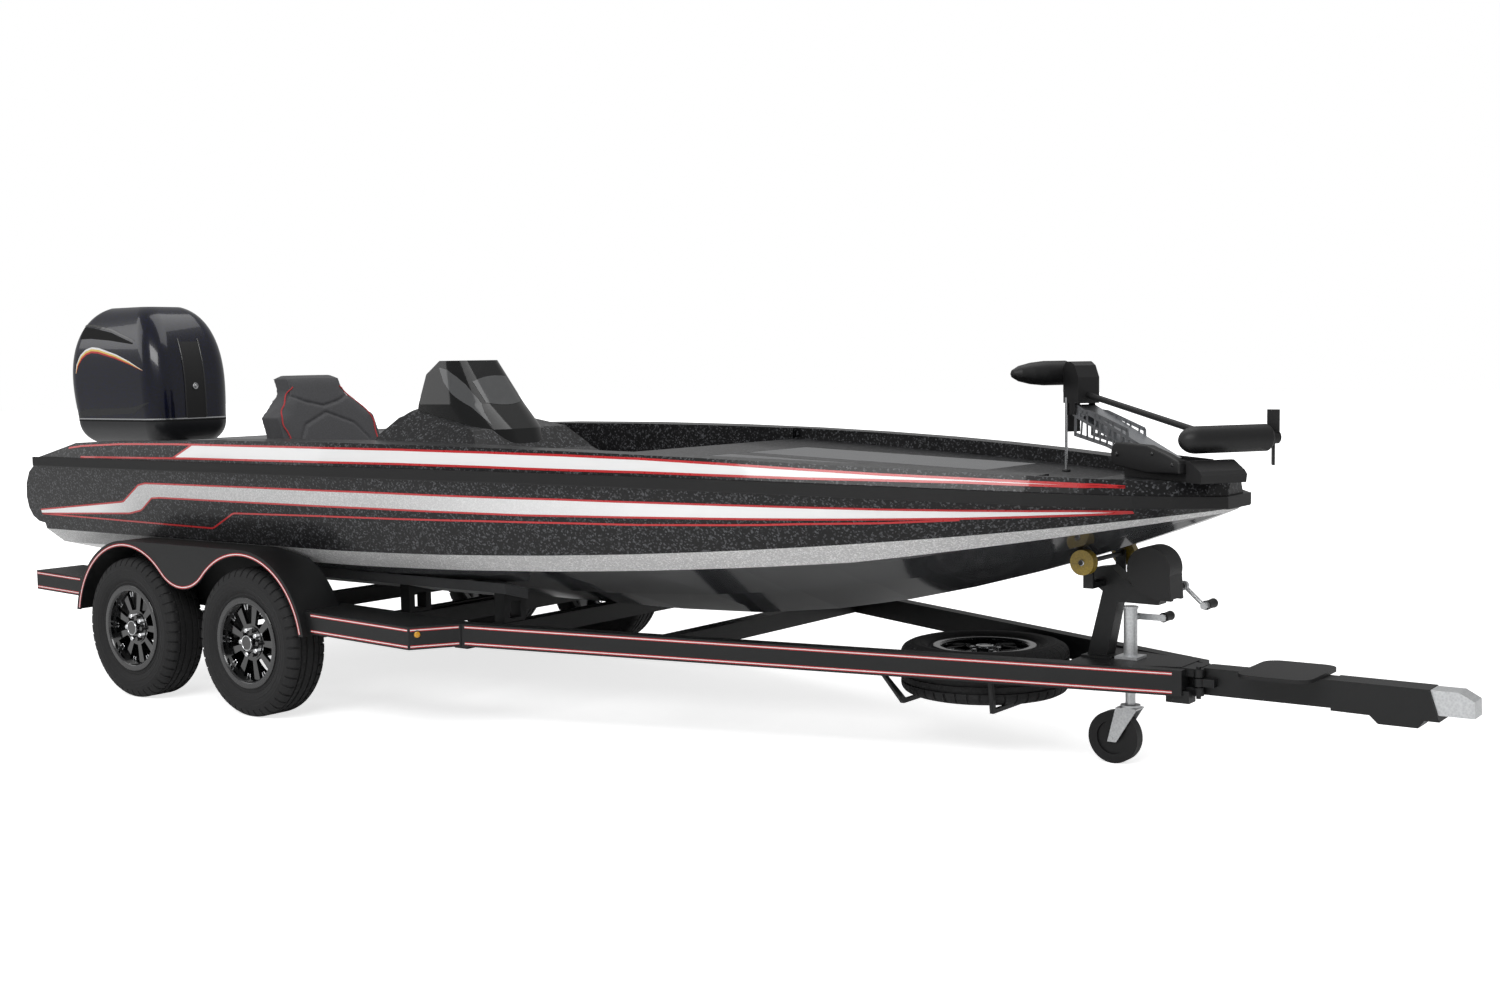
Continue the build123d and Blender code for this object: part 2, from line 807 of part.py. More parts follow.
chine_clearance = 14.0
with BuildPart() as fender_inside:
    arch_plate(fender_radius - fender_sheet, rail_outer_half + seat_gap + fender_sheet, fender_outer_half - fender_sheet)
    chine_cut(chine_clearance + 1.3 * fender_sheet)
with BuildPart() as fender_arch:
    arch_plate(fender_radius, rail_outer_half + seat_gap, fender_outer_half)
    chine_cut(chine_clearance)
    add(fender_inside.part, mode=Mode.SUBTRACT)
    with BuildSketch(Plane.XZ.offset(-fender_outer_half - 10)) as mouth:
        for x in (-axle_spacing / 2, axle_spacing / 2):
            with Locations((at(x), tyre_radius)):
                Circle(opening_radius)
                Rectangle(2 * opening_radius, tyre_radius, align=(Align.CENTER, Align.MAX))
        with Locations((at(0), 0)):
            Rectangle(2 * valley_half, valley_top, align=(Align.CENTER, Align.MIN))
        with Locations((at(0), valley_z + valley_radius)):
            Circle(valley_radius, mode=Mode.SUBTRACT)
    extrude(mouth.sketch, amount=60, mode=Mode.SUBTRACT)
    block(
        at(-1300),
        at(1300),
        rail_outer_half - 200,
        fender_outer_half + 100,
        -400,
        fender_foot_z,
        mode=Mode.SUBTRACT,
    )
    # the inner wall ends on the side of the rail
    side_plate(
        [
            (at(-1300), 0),
            (at(1300), 0),
            (at(1300), rail_top(1300) - rail_height),
            (at(-1300), rail_top(-1300) - rail_height),
        ],
        rail_outer_half - 60,
        rail_outer_half + seat_gap + fender_sheet + 0.01,
        mode=Mode.SUBTRACT,
    )

step_end = axle_spacing / 2 + fender_radius - 90
with BuildPart() as fender_port:
    plan_plate(
        [
            (at(frame_rear_station), rail_outer_half + seat_gap),
            (at(-step_end), rail_outer_half + seat_gap),
            (at(-step_end), step_outer_half),
            (at(frame_rear_station), step_outer_half),
        ],
        200,
        800,
    )
    plan_plate(
        [
            (at(step_end), rail_outer_half + seat_gap),
            (at(bend_station - 6), rail_outer_half + seat_gap),
            (at(1490), step_outer_half),
            (at(step_end), step_outer_half),
        ],
        200,
        800,
    )
    rail_band()
    arch_plate(fender_radius, rail_outer_half - 40, fender_outer_half, mode=Mode.SUBTRACT)
    add(fender_arch.part)
fender_port.part.label = "fender_port"
export_step(fender_port.part, "parts/fender_port.step")
with BuildPart() as fender_starboard:
    mirror(fender_port.part, about=Plane.XZ)
fender_starboard.part.label = "fender_starboard"
export_step(fender_starboard.part, "parts/fender_starboard.step")

# Winch post, rollers and winch
post_half = 36.0
post_foot_z = rail_top(4100) - 4 + seat_gap
roller_station = 4030.0
roller_y = 185.0
roller_radius = 48.0
roller_width = 40.0
roller_pin = 9.0
roller_edge_y = roller_y - roller_width / 2
contact_rise = bottom_z(roller_station, roller_edge_y) - bottom_z(roller_station - roller_radius, roller_edge_y)
contact_angle = math.atan(contact_rise / roller_radius)
roller_z = bottom_z(roller_station, roller_edge_y) - (roller_radius + 2 * seat_gap) / math.cos(contact_angle)
with BuildPart() as winch_post:
    side_plate(
        [
            (at(3972), post_foot_z),
            (at(4054), post_foot_z),
            (at(4098), 630),
            (at(4262), 628),
            (at(4276), 662),
            (at(4150), 700),
            (at(4068), 766),
            (at(4000), 756),
            (at(3968), 738),
            (at(3986), 704),
            (at(4036), 668),
        ],
        -post_half,
        post_half,
    )
    block(at(3962), at(4084), -70, 70, post_foot_z, post_foot_z + 8)
    # cross shaft for the bow rollers on two side arms
    rod((at(roller_station), -roller_y - 30, roller_z), (at(roller_station), roller_y + 30, roller_z), roller_pin)
    for side in (-1, 1):
        y_pair = sorted((side * (roller_y - 34), side * (roller_y - 46)))
        block(at(roller_station - 20), at(roller_station + 20), y_pair[0], y_pair[1], 690, roller_z + 16)
    block(at(roller_station - 20), at(roller_station + 20), -roller_y + 46, roller_y - 46, 690, 712)
winch_post.part.label = "winch_post"
export_step(winch_post.part, "parts/winch_post.step")
for side, tag in ((-1, "starboard"), (1, "port")):
    with BuildPart() as bow_roller:
        rod(
            (at(roller_station), side * roller_y - roller_width / 2, roller_z),
            (at(roller_station), side * roller_y + roller_width / 2, roller_z),
            roller_radius,
        )
        rod(
            (at(roller_station), side * roller_y - roller_width, roller_z),
            (at(roller_station), side * roller_y + roller_width, roller_z),
            roller_pin + running_gap,
            mode=Mode.SUBTRACT,
        )
    bow_roller.part.label = "bow_roller_" + tag
    export_step(bow_roller.part, "parts/bow_roller_" + tag + ".step")

housing_half = 60.0
drum_station = 4232.0
drum_z = 764.0
drum_radius = 86.0
crank_station = 4270.0
crank_z = 678.0
crank_shaft_radius = 9.0
with BuildPart() as winch_housing:
    with BuildSketch(Plane.XZ.offset(-housing_half)):
        with Locations((at(drum_station), drum_z)):
            Circle(drum_radius)
        with BuildLine():
            Polyline(
                (at(drum_station - 74), drum_z - 72),
                (at(drum_station - 70), 690),
                (at(drum_station + 36), 650),
                (at(drum_station + 90), 648),
                (at(drum_station + 84), drum_z - 20),
                close=True,
            )
        make_face()
    extrude(amount=2 * housing_half)
    side_plate(
        [(at(4100), 740), (at(4150), 700 + seat_gap), (at(4276), 662 + seat_gap), (at(4400), 640), (at(4400), 560), (at(4000), 560)],
        -post_half - seat_gap,
        post_half + seat_gap,
        mode=Mode.SUBTRACT,
    )
    rod((at(crank_station), 50, crank_z), (at(crank_station), 208, crank_z), crank_shaft_radius)
winch_housing.part.label = "winch_housing"
export_step(winch_housing.part, "parts/winch_housing.step")

crank_y = 190.0
crank_end_station = 4352.0
crank_end_z = 604.0
crank_end = (at(crank_end_station), crank_y, crank_end_z)
with BuildPart() as winch_crank:
    rod((at(crank_station), crank_y - 9, crank_z), (at(crank_station), crank_y + 9, crank_z), 18)
    rod((at(crank_station), crank_y, crank_z), crank_end, 8)
    rod((at(crank_end_station), crank_y - 9, crank_end_z), (at(crank_end_station), crank_y + 12, crank_end_z), 13)
    rod((at(crank_end_station), crank_y + 12, crank_end_z), (at(crank_end_station), crank_y + 100, crank_end_z), 16)
    rod(
        (at(crank_station), crank_y - 30, crank_z),
        (at(crank_station), crank_y + 30, crank_z),
        crank_shaft_radius + running_gap,
        mode=Mode.SUBTRACT,
    )
winch_crank.part.label = "winch_crank"
export_step(winch_crank.part, "parts/winch_crank.step")

# Jack with its caster wheel
jack_tube_low = 316.0
jack_tube_high = 612.0
jack_leg_low = 216.0
jack_leg_top = 430.0
jack_wheel_radius = 101.5
jack_wheel_width = 50.0
jack_trail = 62.0
jack_crank_z = 564.0
with BuildPart() as jack_tube:
    rod((at(jack_station), 0, jack_tube_low), (at(jack_station), 0, jack_tube_high), jack_tube_radius)
    rod((at(jack_station), 0, jack_tube_high - 8), (at(jack_station), 0, jack_tube_high), jack_tube_radius + 4)
    block(
        at(jack_station - 46),
        at(jack_station + 46),
        -46,
        46,
        rail_top(4100) - 4 + seat_gap,
        rail_top(4100) + 6,
    )
    rod((at(jack_station), 0, jack_crank_z), (at(jack_station), 84, jack_crank_z), 7)
    rod(
        (at(jack_station), 0, jack_tube_low - 5),
        (at(jack_station), 0, jack_crank_z - 26),
        jack_leg_radius + running_gap,
        mode=Mode.SUBTRACT,
    )
jack_tube.part.label = "jack_tube"
export_step(jack_tube.part, "parts/jack_tube.step")

with BuildPart() as jack_leg:
    rod((at(jack_station), 0, jack_leg_low + 6), (at(jack_station), 0, jack_leg_top), jack_leg_radius)
    rod((at(jack_station), 0, jack_leg_low + 6), (at(jack_station), 0, jack_leg_low + 16), 38)
    rod((at(jack_station), 0, jack_leg_low - 18), (at(jack_station), 0, jack_leg_low + 6), 8)
jack_leg.part.label = "jack_leg"
export_step(jack_leg.part, "parts/jack_leg.step")

fork_half = jack_wheel_width / 2 + 6
fork_sheet = 5.0
fork_z = jack_leg_low - seat_gap
wheel_station = jack_station - jack_trail
with BuildPart() as caster_fork:
    for side in (-1, 1):
        y_pair = sorted((side * fork_half, side * (fork_half + fork_sheet)))
        side_plate(
            [
                (at(wheel_station - 18), jack_wheel_radius - 16),
                (at(wheel_station + 18), jack_wheel_radius - 16),
                (at(jack_station + 40), fork_z + 4),
                (at(jack_station - 46), fork_z + 4),
            ],
            y_pair[0],
            y_pair[1],
        )
    block(at(jack_station - 46), at(jack_station + 40), -fork_half - fork_sheet, fork_half + fork_sheet, fork_z, fork_z + 6)
    rod(
        (at(wheel_station), -fork_half - fork_sheet - 6, jack_wheel_radius),
        (at(wheel_station), fork_half + fork_sheet + 6, jack_wheel_radius),
        7,
    )
    rod((at(jack_station), 0, fork_z - 20), (at(jack_station), 0, fork_z + 20), 8 + running_gap, mode=Mode.SUBTRACT)
caster_fork.part.label = "caster_fork"
export_step(caster_fork.part, "parts/caster_fork.step")

with BuildPart() as jack_wheel:
    half = jack_wheel_width / 2
    rod((at(wheel_station), -half, jack_wheel_radius), (at(wheel_station), half, jack_wheel_radius), jack_wheel_radius)
    for side in (-1, 1):
        with BuildSketch(Plane.XZ.offset(-side * half)):
            with Locations((at(wheel_station), jack_wheel_radius)):
                Circle(66)
                Circle(24, mode=Mode.SUBTRACT)
        extrude(amount=side * 9, mode=Mode.SUBTRACT)
    rod(
        (at(wheel_station), -half - 10, jack_wheel_radius),
        (at(wheel_station), half + 10, jack_wheel_radius),
        7 + running_gap,
        mode=Mode.SUBTRACT,
    )
jack_wheel.part.label = "jack_wheel"
export_step(jack_wheel.part, "parts/jack_wheel.step")

jack_crank_y = 68.0
with BuildPart() as jack_crank:
    rod((at(jack_station), jack_crank_y, jack_crank_z), (at(jack_station), jack_crank_y + 10, jack_crank_z), 13)
    block(
        at(jack_station),
        at(jack_station + 110),
        jack_crank_y,
        jack_crank_y + 6,
        jack_crank_z - 12,
        jack_crank_z + 12,
    )
    rod((at(jack_station + 98), jack_crank_y, jack_crank_z), (at(jack_station + 98), jack_crank_y + 84, jack_crank_z), 14)
    rod(
        (at(jack_station), 20, jack_crank_z),
        (at(jack_station), 110, jack_crank_z),
        7 + running_gap,
        mode=Mode.SUBTRACT,
    )
jack_crank.part.label = "jack_crank"
export_step(jack_crank.part, "parts/jack_crank.step")

# Swing tongue
sleeve_start = 4915.0
with BuildPart() as tongue:
    block(
        at(tongue_start),
        at(sleeve_start),
        -tongue_half,
        tongue_half,
        tongue_top_z - tongue_height,
        tongue_top_z,
    )
    rod(
        (at(pin_station), pin_y, tongue_top_z - tongue_height + 35),
        (at(pin_station), pin_y, tongue_top_z - 35),
        knuckle_radius,
    )
    block(
        at(pin_station + 8),
        at(pin_station + 62),
        pin_y - 8,
        -tongue_half,
        tongue_top_z - tongue_height + 35,
        tongue_top_z - 35,
    )
    rod((at(pin_station), pin_y, 250), (at(pin_station), pin_y, 450), pin_radius + running_gap, mode=Mode.SUBTRACT)
tongue.part.label = "tongue"
export_step(tongue.part, "parts/tongue.step")

pad_station = 4745.0
with BuildPart() as step_pad:
    with BuildSketch(Plane.XY.offset(tongue_top_z + seat_gap)):
        with Locations((at(pad_station), -10)):
            RectangleRounded(270, 360, 62)
    extrude(amount=14)
step_pad.part.label = "step_pad"
export_step(step_pad.part, "parts/step_pad.step")

with BuildPart() as coupler_sleeve:
    side_plate(
        [
            (at(sleeve_start + seat_gap), 412),
            (at(5250), 410),
            (at(5285), 300),
            (at(5235), 300),
            (at(5215), 272),
            (at(5080), 272),
            (at(5050), 300),
            (at(sleeve_start + seat_gap), 302),
        ],
        -57,
        57,
    )
coupler_sleeve.part.label = "coupler_sleeve"
export_step(coupler_sleeve.part, "parts/coupler_sleeve.step")

ball_station = 5342.0
ball_radius = 29.4
socket_z = 322.0
with BuildPart() as coupler_nose:
    side_plate(
        [
            (at(5251.4), 408),
            (at(5345), 408),
            (at(5396), 380),
            (at(5398), 322),
            (at(5278.8), 322),
        ],
        -48,
        48,
    )
    rod((at(ball_station), 0, socket_z - 5), (at(ball_station), 0, socket_z + 40), ball_radius + 0.3, mode=Mode.SUBTRACT)
coupler_nose.part.label = "coupler_nose"
export_step(coupler_nose.part, "parts/coupler_nose.step")

# Helm console, windscreen and wheel
helm_y = -540.0
console_outer = -915.0
console_inner = -215.0
column_radius = 14.0
wheel_tilt = math.radians(25)
wheel_centre = (at(786), helm_y, 1212)
column_run = 150.0
wheel_axis = Vector(-math.cos(wheel_tilt), 0, math.sin(wheel_tilt))
dash_aft = 915.0
console_fore = cockpit_fore - 200.0


def along(share):
    # a share of the way from the dash's aft edge to the console's fore end
    return at(dash_aft + share * (console_fore - dash_aft))


def console_form(rise):
    side_plate(
        [
            (along(0.1), cockpit_floor_z + rise),
            (along(0.96), cockpit_floor_z + rise),
            (along(0.98), 1150 + rise),
            (along(0.84), 1196 + rise),
            (along(0.72), 1290 + rise),
            (along(0.205), 1372 + rise),
            (along(0.1), 1342 + rise),
            (along(0.02), 1272 + rise),
            (along(0), 1226 + rise),
            (along(0.02), 1080 + rise),
        ],
        console_outer,
        console_inner,
    )
    with BuildSketch(Plane.YZ.offset(at(dash_aft - 100))) as front_view:
        with BuildLine():
            Polyline(
                (console_outer, cockpit_floor_z - 10),
                (console_outer, 1222 + rise),
                (console_outer + 105, 1352 + rise),
                (console_outer + 150, 1400 + rise),
                (console_inner - 170, 1400 + rise),
                (console_inner - 100, 1340 + rise),
                (console_inner, 1210 + rise),
                (console_inner, cockpit_floor_z - 10),
                close=True,
            )
        make_face()
    extrude(front_view.sketch, amount=console_fore - dash_aft + 300, mode=Mode.INTERSECT)


with BuildPart() as console:
    console_form(seat_gap)
    block(
        along(0) - 15,
        along(0.62),
        console_outer + 60,
        console_inner - 60,
        cockpit_floor_z - 5,
        1040,
        mode=Mode.SUBTRACT,
    )
    rod(
        (wheel_centre[0] + column_run, helm_y, wheel_centre[2] - column_run * math.tan(wheel_tilt)),
        wheel_centre,
        column_radius,
    )
console.part.label = "console"
export_step(console.part, "parts/console.step")

screen_sheet = 6.0


def screen_form(shrink):
    sections = []
    for z, aft, fore, y_lo, y_hi, corner in (
        (1180, -0.04, 0.828, -800, -395, 150),
        (1290, -0.03, 0.767, -795, -385, 150),
        (1400, -0.02, 0.6, -775, -365, 130),
        (1592, 0.13, 0.406, -700, -400, 70),
    ):
        with BuildSketch(Plane.XY.offset(z)) as ring:
            with Locations(((along(aft) + along(fore)) / 2, (y_lo + y_hi) / 2)):
                RectangleRounded(along(fore) - along(aft) - 2 * shrink, y_hi - y_lo - 2 * shrink, corner - shrink)
        sections.append(ring.sketch.face())
    loft(sections, ruled=True)


with BuildPart() as screen_inside:
    screen_form(screen_sheet)
with BuildPart() as console_top:
    console_form(2 * seat_gap)
with BuildPart() as windscreen:
    screen_form(0.0)
    add(screen_inside.part, mode=Mode.SUBTRACT)
    add(console_top.part, mode=Mode.SUBTRACT)
    side_plate(
        [
            (along(-0.3), 1000),
            (along(0.2), 1000),
            (along(0.2), 1532),
            (along(0.285), 1598),
            (along(0.285), 1700),
            (along(-0.3), 1700),
        ],
        -1000,
        0,
        mode=Mode.SUBTRACT,
    )
windscreen.part.label = "windscreen"
export_step(windscreen.part, "parts/windscreen.step")

wheel_ring = 165.0
with BuildPart() as steering_wheel:
    hub_plane = Plane(origin=wheel_centre, z_dir=wheel_axis)
    with Locations(hub_plane.location):
        Torus(wheel_ring, 14)
        Cylinder(34, 40)
        with PolarLocations(0, 3):
            with Locations((wheel_ring / 2, 0, 0)):
                Box(wheel_ring - 10, 26, 9)
    with Locations(hub_plane.offset(-20).location):
        Cylinder(column_radius + running_gap, 44, mode=Mode.SUBTRACT)
steering_wheel.part.label = "steering_wheel"
export_step(steering_wheel.part, "parts/steering_wheel.step")

# Seats
seat_inner = 190.0
seat_outer = 820.0
seat_box_top = 930.0
cushion_top = 1035.0
back_top = 1550.0
shoulder_z = 1425.0
back_middle = (seat_inner + seat_outer) / 2
back_half = (seat_outer - seat_inner) / 2
head_half = 178.0
with BuildPart() as seat_box:
    block(at(-40), at(650), -860, 860, cockpit_floor_z + seat_gap, seat_box_top)
    block(at(120), at(640), -seat_inner + 12, seat_inner - 12, seat_box_top - 5, seat_box_top + 70)
seat_box.part.label = "seat_box"
export_step(seat_box.part, "parts/seat_box.step")
for side, tag in ((-1, "starboard"), (1, "port")):
    y_pair = sorted((side * seat_inner, side * seat_outer))
    with BuildPart() as cushion:
        block(at(170), at(664), y_pair[0], y_pair[1], seat_box_top + seat_gap, cushion_top)
    cushion.part.label = "seat_cushion_" + tag
    export_step(cushion.part, "parts/seat_cushion_" + tag + ".step")
    with BuildPart() as back:
        side_plate(
            [
                (at(110), cushion_top + seat_gap),
                (at(280), cushion_top + seat_gap),
                (at(30), back_top - 20),
                (at(0), back_top),
                (at(-55), back_top),
                (at(-75), back_top - 20),
            ],
            y_pair[0],
            y_pair[1],
        )
        with BuildSketch(Plane.YZ.offset(at(-400))) as front_view:
            with BuildLine():
                Polyline(
                    (back_middle * side - back_half, cushion_top),
                    (back_middle * side + back_half, cushion_top),
                    (back_middle * side + back_half, shoulder_z - 90),
                    (back_middle * side + head_half + 34, shoulder_z),
                    (back_middle * side + head_half, shoulder_z + 28),
                    (back_middle * side + head_half - 12, back_top - 16),
                    (back_middle * side + head_half - 46, back_top),
                    (back_middle * side - head_half + 46, back_top),
                    (back_middle * side - head_half + 12, back_top - 16),
                    (back_middle * side - head_half, shoulder_z + 28),
                    (back_middle * side - head_half - 34, shoulder_z),
                    (back_middle * side - back_half, shoulder_z - 90),
                    close=True,
                )
            make_face()
        extrude(front_view.sketch, amount=900, mode=Mode.INTERSECT)
    back.part.label = "seat_back_" + tag
    export_step(back.part, "parts/seat_back_" + tag + ".step")

# Outboard engine
tilt_station = -1610.0
tilt_z = 1075.0
tilt_pin = 14.0
steer_station = -1790.0
steer_shaft = 24.0
plate_half = 160.0
cheek_inner = 108.0
cheek_outer = 132.0
with BuildPart() as engine_bracket:
    block(at(notch_fore - 18), at(notch_fore) - seat_gap, -plate_half, plate_half, 600, 950)
    for side in (-1, 1):
        y_pair = sorted((side * plate_half, side * (plate_half - 12)))
        block(at(-1545), at(notch_fore - 18), y_pair[0], y_pair[1], 620, 930)
        with BuildSketch(Plane.XZ.offset(-y_pair[1] - 1)):
            with Locations((at(-1450), 700), (at(-1450), 850)):
                RectangleRounded(110, 80, 20)
        extrude(amount=14, mode=Mode.SUBTRACT)
    block(at(-1560), at(-1545), -plate_half, plate_half, 600, 1000)
    for side in (-1, 1):
        y_pair = sorted((side * cheek_inner, side * cheek_outer))
        side_plate(
            [
                (at(-1558), 995),
                (at(-1558), 640),
                (at(-1590), 640),
                (at(-1640), 960),
                (at(-1640), 1090),
                (at(-1620), 1106),
                (at(-1585), 1100),
            ],
            y_pair[0],
            y_pair[1],
        )
    rod((at(tilt_station), -cheek_outer - 30, tilt_z), (at(tilt_station), cheek_outer + 30, tilt_z), tilt_pin)
engine_bracket.part.label = "engine_bracket"
export_step(engine_bracket.part, "parts/engine_bracket.step")

with BuildPart() as swivel_bracket:
    rod((at(steer_station), 0, 700), (at(steer_station), 0, 1088), 46)
    side_plate(
        [
            (at(tilt_station - 8), 1046),
            (at(tilt_station + 2), 1102),
            (at(steer_station), 1086),
            (at(steer_station), 760),
            (at(steer_station + 60), 800),
        ],
        -34,
        34,
    )
    rod((at(tilt_station), -cheek_inner + 8, tilt_z), (at(tilt_station), cheek_inner - 8, tilt_z), 30)
    rod((at(tilt_station), -200, tilt_z), (at(tilt_station), 200, tilt_z), tilt_pin + running_gap, mode=Mode.SUBTRACT)
    rod((at(steer_station), 0, 600), (at(steer_station), 0, 1200), steer_shaft + running_gap, mode=Mode.SUBTRACT)
swivel_bracket.part.label = "swivel_bracket"
export_step(swivel_bracket.part, "parts/swivel_bracket.step")

prop_z = 300.0
plate_z = 500.0
prop_shaft = 15.0
pan_z = 1155.0
cowl_z = 1290.0
with BuildPart() as leg_core:
    leg_sections = []
    for z, x_lo, x_hi, half in ((240, -2180, -1930, 20), (plate_z, -2120, -1870, 48), (760, -2130, -1856, 74), (pan_z, -2230, -1850, 120)):
        with BuildSketch(Plane.XY.offset(z)) as ring:
            with Locations((at((x_lo + x_hi) / 2), 0)):
                RectangleRounded(x_hi - x_lo, 2 * half, half * 0.8)
        leg_sections.append(ring.sketch.face())
    loft(leg_sections, ruled=True)
with BuildPart() as midsection:
    add(leg_core.part)
    rod((at(-2290), 0, prop_z), (at(-1880), 0, prop_z), 57)
    with Locations((at(-1880), 0, prop_z)):
        Sphere(57)
    block(at(-2420), at(-1845), -120, 120, plate_z - 5, plate_z + 5)
    side_plate(
        [(at(-1950), 270), (at(-2250), 270), (at(-2255), 140), (at(-2215), 118), (at(-2140), 118)],
        -7,
        7,
    )
    rod((at(-2430), 0, prop_z), (at(-2280), 0, prop_z), prop_shaft)
    rod((at(steer_station), 0, 640), (at(steer_station), 0, 1150), steer_shaft)
    block(at(-1900), at(steer_station + 40), -60, 60, 1096, pan_z)
    block(at(-1900), at(steer_station + 36), -44, 44, 640, 692)
midsection.part.label = "engine_midsection"
export_step(midsection.part, "parts/engine_midsection.step")


def cowl_form(levels, shrink):
    sections = []
    for z, x_lo, x_hi, half, corner in levels:
        with BuildSketch(Plane.XY.offset(z)) as ring:
            with Locations((at((x_lo + x_hi) / 2), 0)):
                RectangleRounded(x_hi - x_lo - 2 * shrink, 2 * (half - shrink), corner)
        sections.append(ring.sketch.face())
    loft(sections)


with BuildPart() as cowl_lower:
    cowl_form(
        ((pan_z + seat_gap, -2370, -1690, 200, 90), (1215, -2440, -1632, 250, 110), (cowl_z, -2466, -1616, 262, 120)),
        0.0,
    )
cowl_lower.part.label = "cowl_lower"
export_step(cowl_lower.part, "parts/cowl_lower.step")

cowl_levels = (
    (cowl_z + seat_gap, -2466, -1616, 262, 120),
    (1480, -2500, -1620, 270, 125),
    (1680, -2486, -1650, 260, 120),
    (1840, -2404, -1726, 220, 105),
    (1938, -2250, -1860, 130, 70),
)
cowl_wall = 14.0
inner_levels = tuple((z if n else z - 1, a, b, h, c - 10) for n, (z, a, b, h, c) in enumerate(cowl_levels[:4]))
with BuildPart() as cowl_inside:
    cowl_form(inner_levels, cowl_wall)
with BuildPart() as cowl_upper:
    cowl_form(cowl_levels, 0.0)
    add(cowl_inside.part, mode=Mode.SUBTRACT)
cowl_upper.part.label = "cowl_upper"
export_step(cowl_upper.part, "parts/cowl_upper.step")

with BuildPart() as engine_block:
    block(at(-2380), at(-1800), -190, 190, cowl_z + seat_gap, 1740)
engine_block.part.label = "engine_block"
export_step(engine_block.part, "parts/engine_block.step")

blade_count = 3
prop_radius = 183.0
prop_hub_radius = 50.0
prop_station = -2360.0
blade_pitch = 380.0
blade_spans = ((42.0, 74.0, 12.0), (95.0, 122.0, 9.0), (145.0, 128.0, 6.0), (prop_radius - 3.0, 62.0, 3.0))


def blade_section(radius, chord, thickness):
    # the chord lies along the helix, tilted from the disc by the pitch angle at this radius
    pitch = math.degrees(math.atan(blade_pitch / (2 * math.pi * radius)))
    spot = Location((at(prop_station), 0, prop_z + radius), (0, 0, 90 - pitch))
    with BuildSketch(Plane(spot)) as section:
        Ellipse(chord / 2, thickness / 2)
    return section.sketch.face()


with BuildPart() as blade:
    loft([blade_section(*span) for span in blade_spans])

with BuildPart() as propeller:
    rod((at(prop_station - 65), 0, prop_z), (at(prop_station + 64), 0, prop_z), prop_hub_radius)
    for count in range(blade_count):
        with Locations(Location((0, 0, prop_z), (360.0 * count / blade_count, 0, 0))):
            with Locations((0, 0, -prop_z)):
                add(blade.part)
    rod(
        (at(prop_station - 140), 0, prop_z),
        (at(prop_station + 160), 0, prop_z),
        prop_shaft + running_gap,
        mode=Mode.SUBTRACT,
    )
propeller.part.label = "propeller"
export_step(propeller.part, "parts/propeller.step")

# Trolling motor, stowed on the bow
troll_place = Location((at(troll_station), troll_y, bow_pad_z + seat_gap), (0, 0, troll_heading))
arm_pivot = (-60.0, 80.0)
arm_end = (-690.0, 240.0)
arm_pin = 8.0
arm_half = 40.0


def troll_export(form, name):
    with BuildPart() as placed:
        with Locations(troll_place):
            add(form.part)
    placed.part.label = name
    export_step(placed.part, "parts/" + name + ".step")


with BuildPart() as troll_base_form:
    for side in (-1, 1):
        y_pair = sorted((side * 50, side * 62))
        side_plate([(-275, 0), (180, 0), (180, 40), (120, 78), (-200, 84), (-275, 60)], y_pair[0], y_pair[1])
    block(-275, 180, -62, 62, 0, 10)
    side_plate([(160, 0), (252, 0), (258, 30), (244, 44), (180, 78), (160, 78)], -80, 110)
    rod((arm_pivot[0], -62, arm_pivot[1] - 22), (arm_pivot[0], 62, arm_pivot[1] - 22), 9)
troll_export(troll_base_form, "troll_base")

with BuildPart() as troll_arm_form:
    side_plate(
        [(-75, 44), (-45, 44), (-45, 76), (-660, 262), (-702, 262), (-706, 250), (-706, 222), (-660, 205)],
        -40,
        40,
    )
    side_plate([(-120, 50), (-110, 84), (-640, 240), (-640, 216)], -60, 60, mode=Mode.SUBTRACT)
    rod((arm_pivot[0], -70, arm_pivot[1] - 22), (arm_pivot[0], 70, arm_pivot[1] - 22), 9 + running_gap, mode=Mode.SUBTRACT)
    rod((arm_end[0], -70, arm_end[1]), (arm_end[0], 70, arm_end[1]), arm_pin + running_gap, mode=Mode.SUBTRACT)
troll_export(troll_arm_form, "troll_arm")

with BuildPart() as troll_housing_form:
    side_plate([(-760, 268), (-640, 268), (-640, 372), (-668, 420), (-700, 436), (-738, 436), (-760, 412)], -48, 48)
    block(-776, -758, -30, 30, 150, 330)
    for side in (-1, 1):
        y_pair = sorted((side * (arm_half + seat_gap), side * (arm_half + 8)))
        block(arm_end[0] - 20, arm_end[0] + 20, y_pair[0], y_pair[1], arm_end[1] - 18, 270)
    rod((arm_end[0], -arm_half - 8, arm_end[1]), (arm_end[0], arm_half + 8, arm_end[1]), arm_pin)
troll_export(troll_housing_form, "troll_housing")

with BuildPart() as troll_shaft_form:
    rod((-638, 0, 300), (120, 0, 180), 12.5)
troll_export(troll_shaft_form, "troll_shaft")

head_x = -810.6
head_z = 390.0
with BuildPart() as troll_head_form:
    with BuildSketch(Plane.XY.offset(head_z)):
        with BuildLine():
            Polyline(
                (head_x, 24),
                (head_x - 40, 16),
                (head_x - 50, -12),
                (head_x - 50, -110),
                (head_x - 44, -170),
                (head_x - 32, -222),
                (head_x - 16, -252),
                (head_x, -262),
            )
            Line((head_x, -262), (head_x, 24))
        make_face()
    revolve(axis=Axis((head_x, 0, head_z), (0, 1, 0)))
troll_export(troll_head_form, "troll_head")

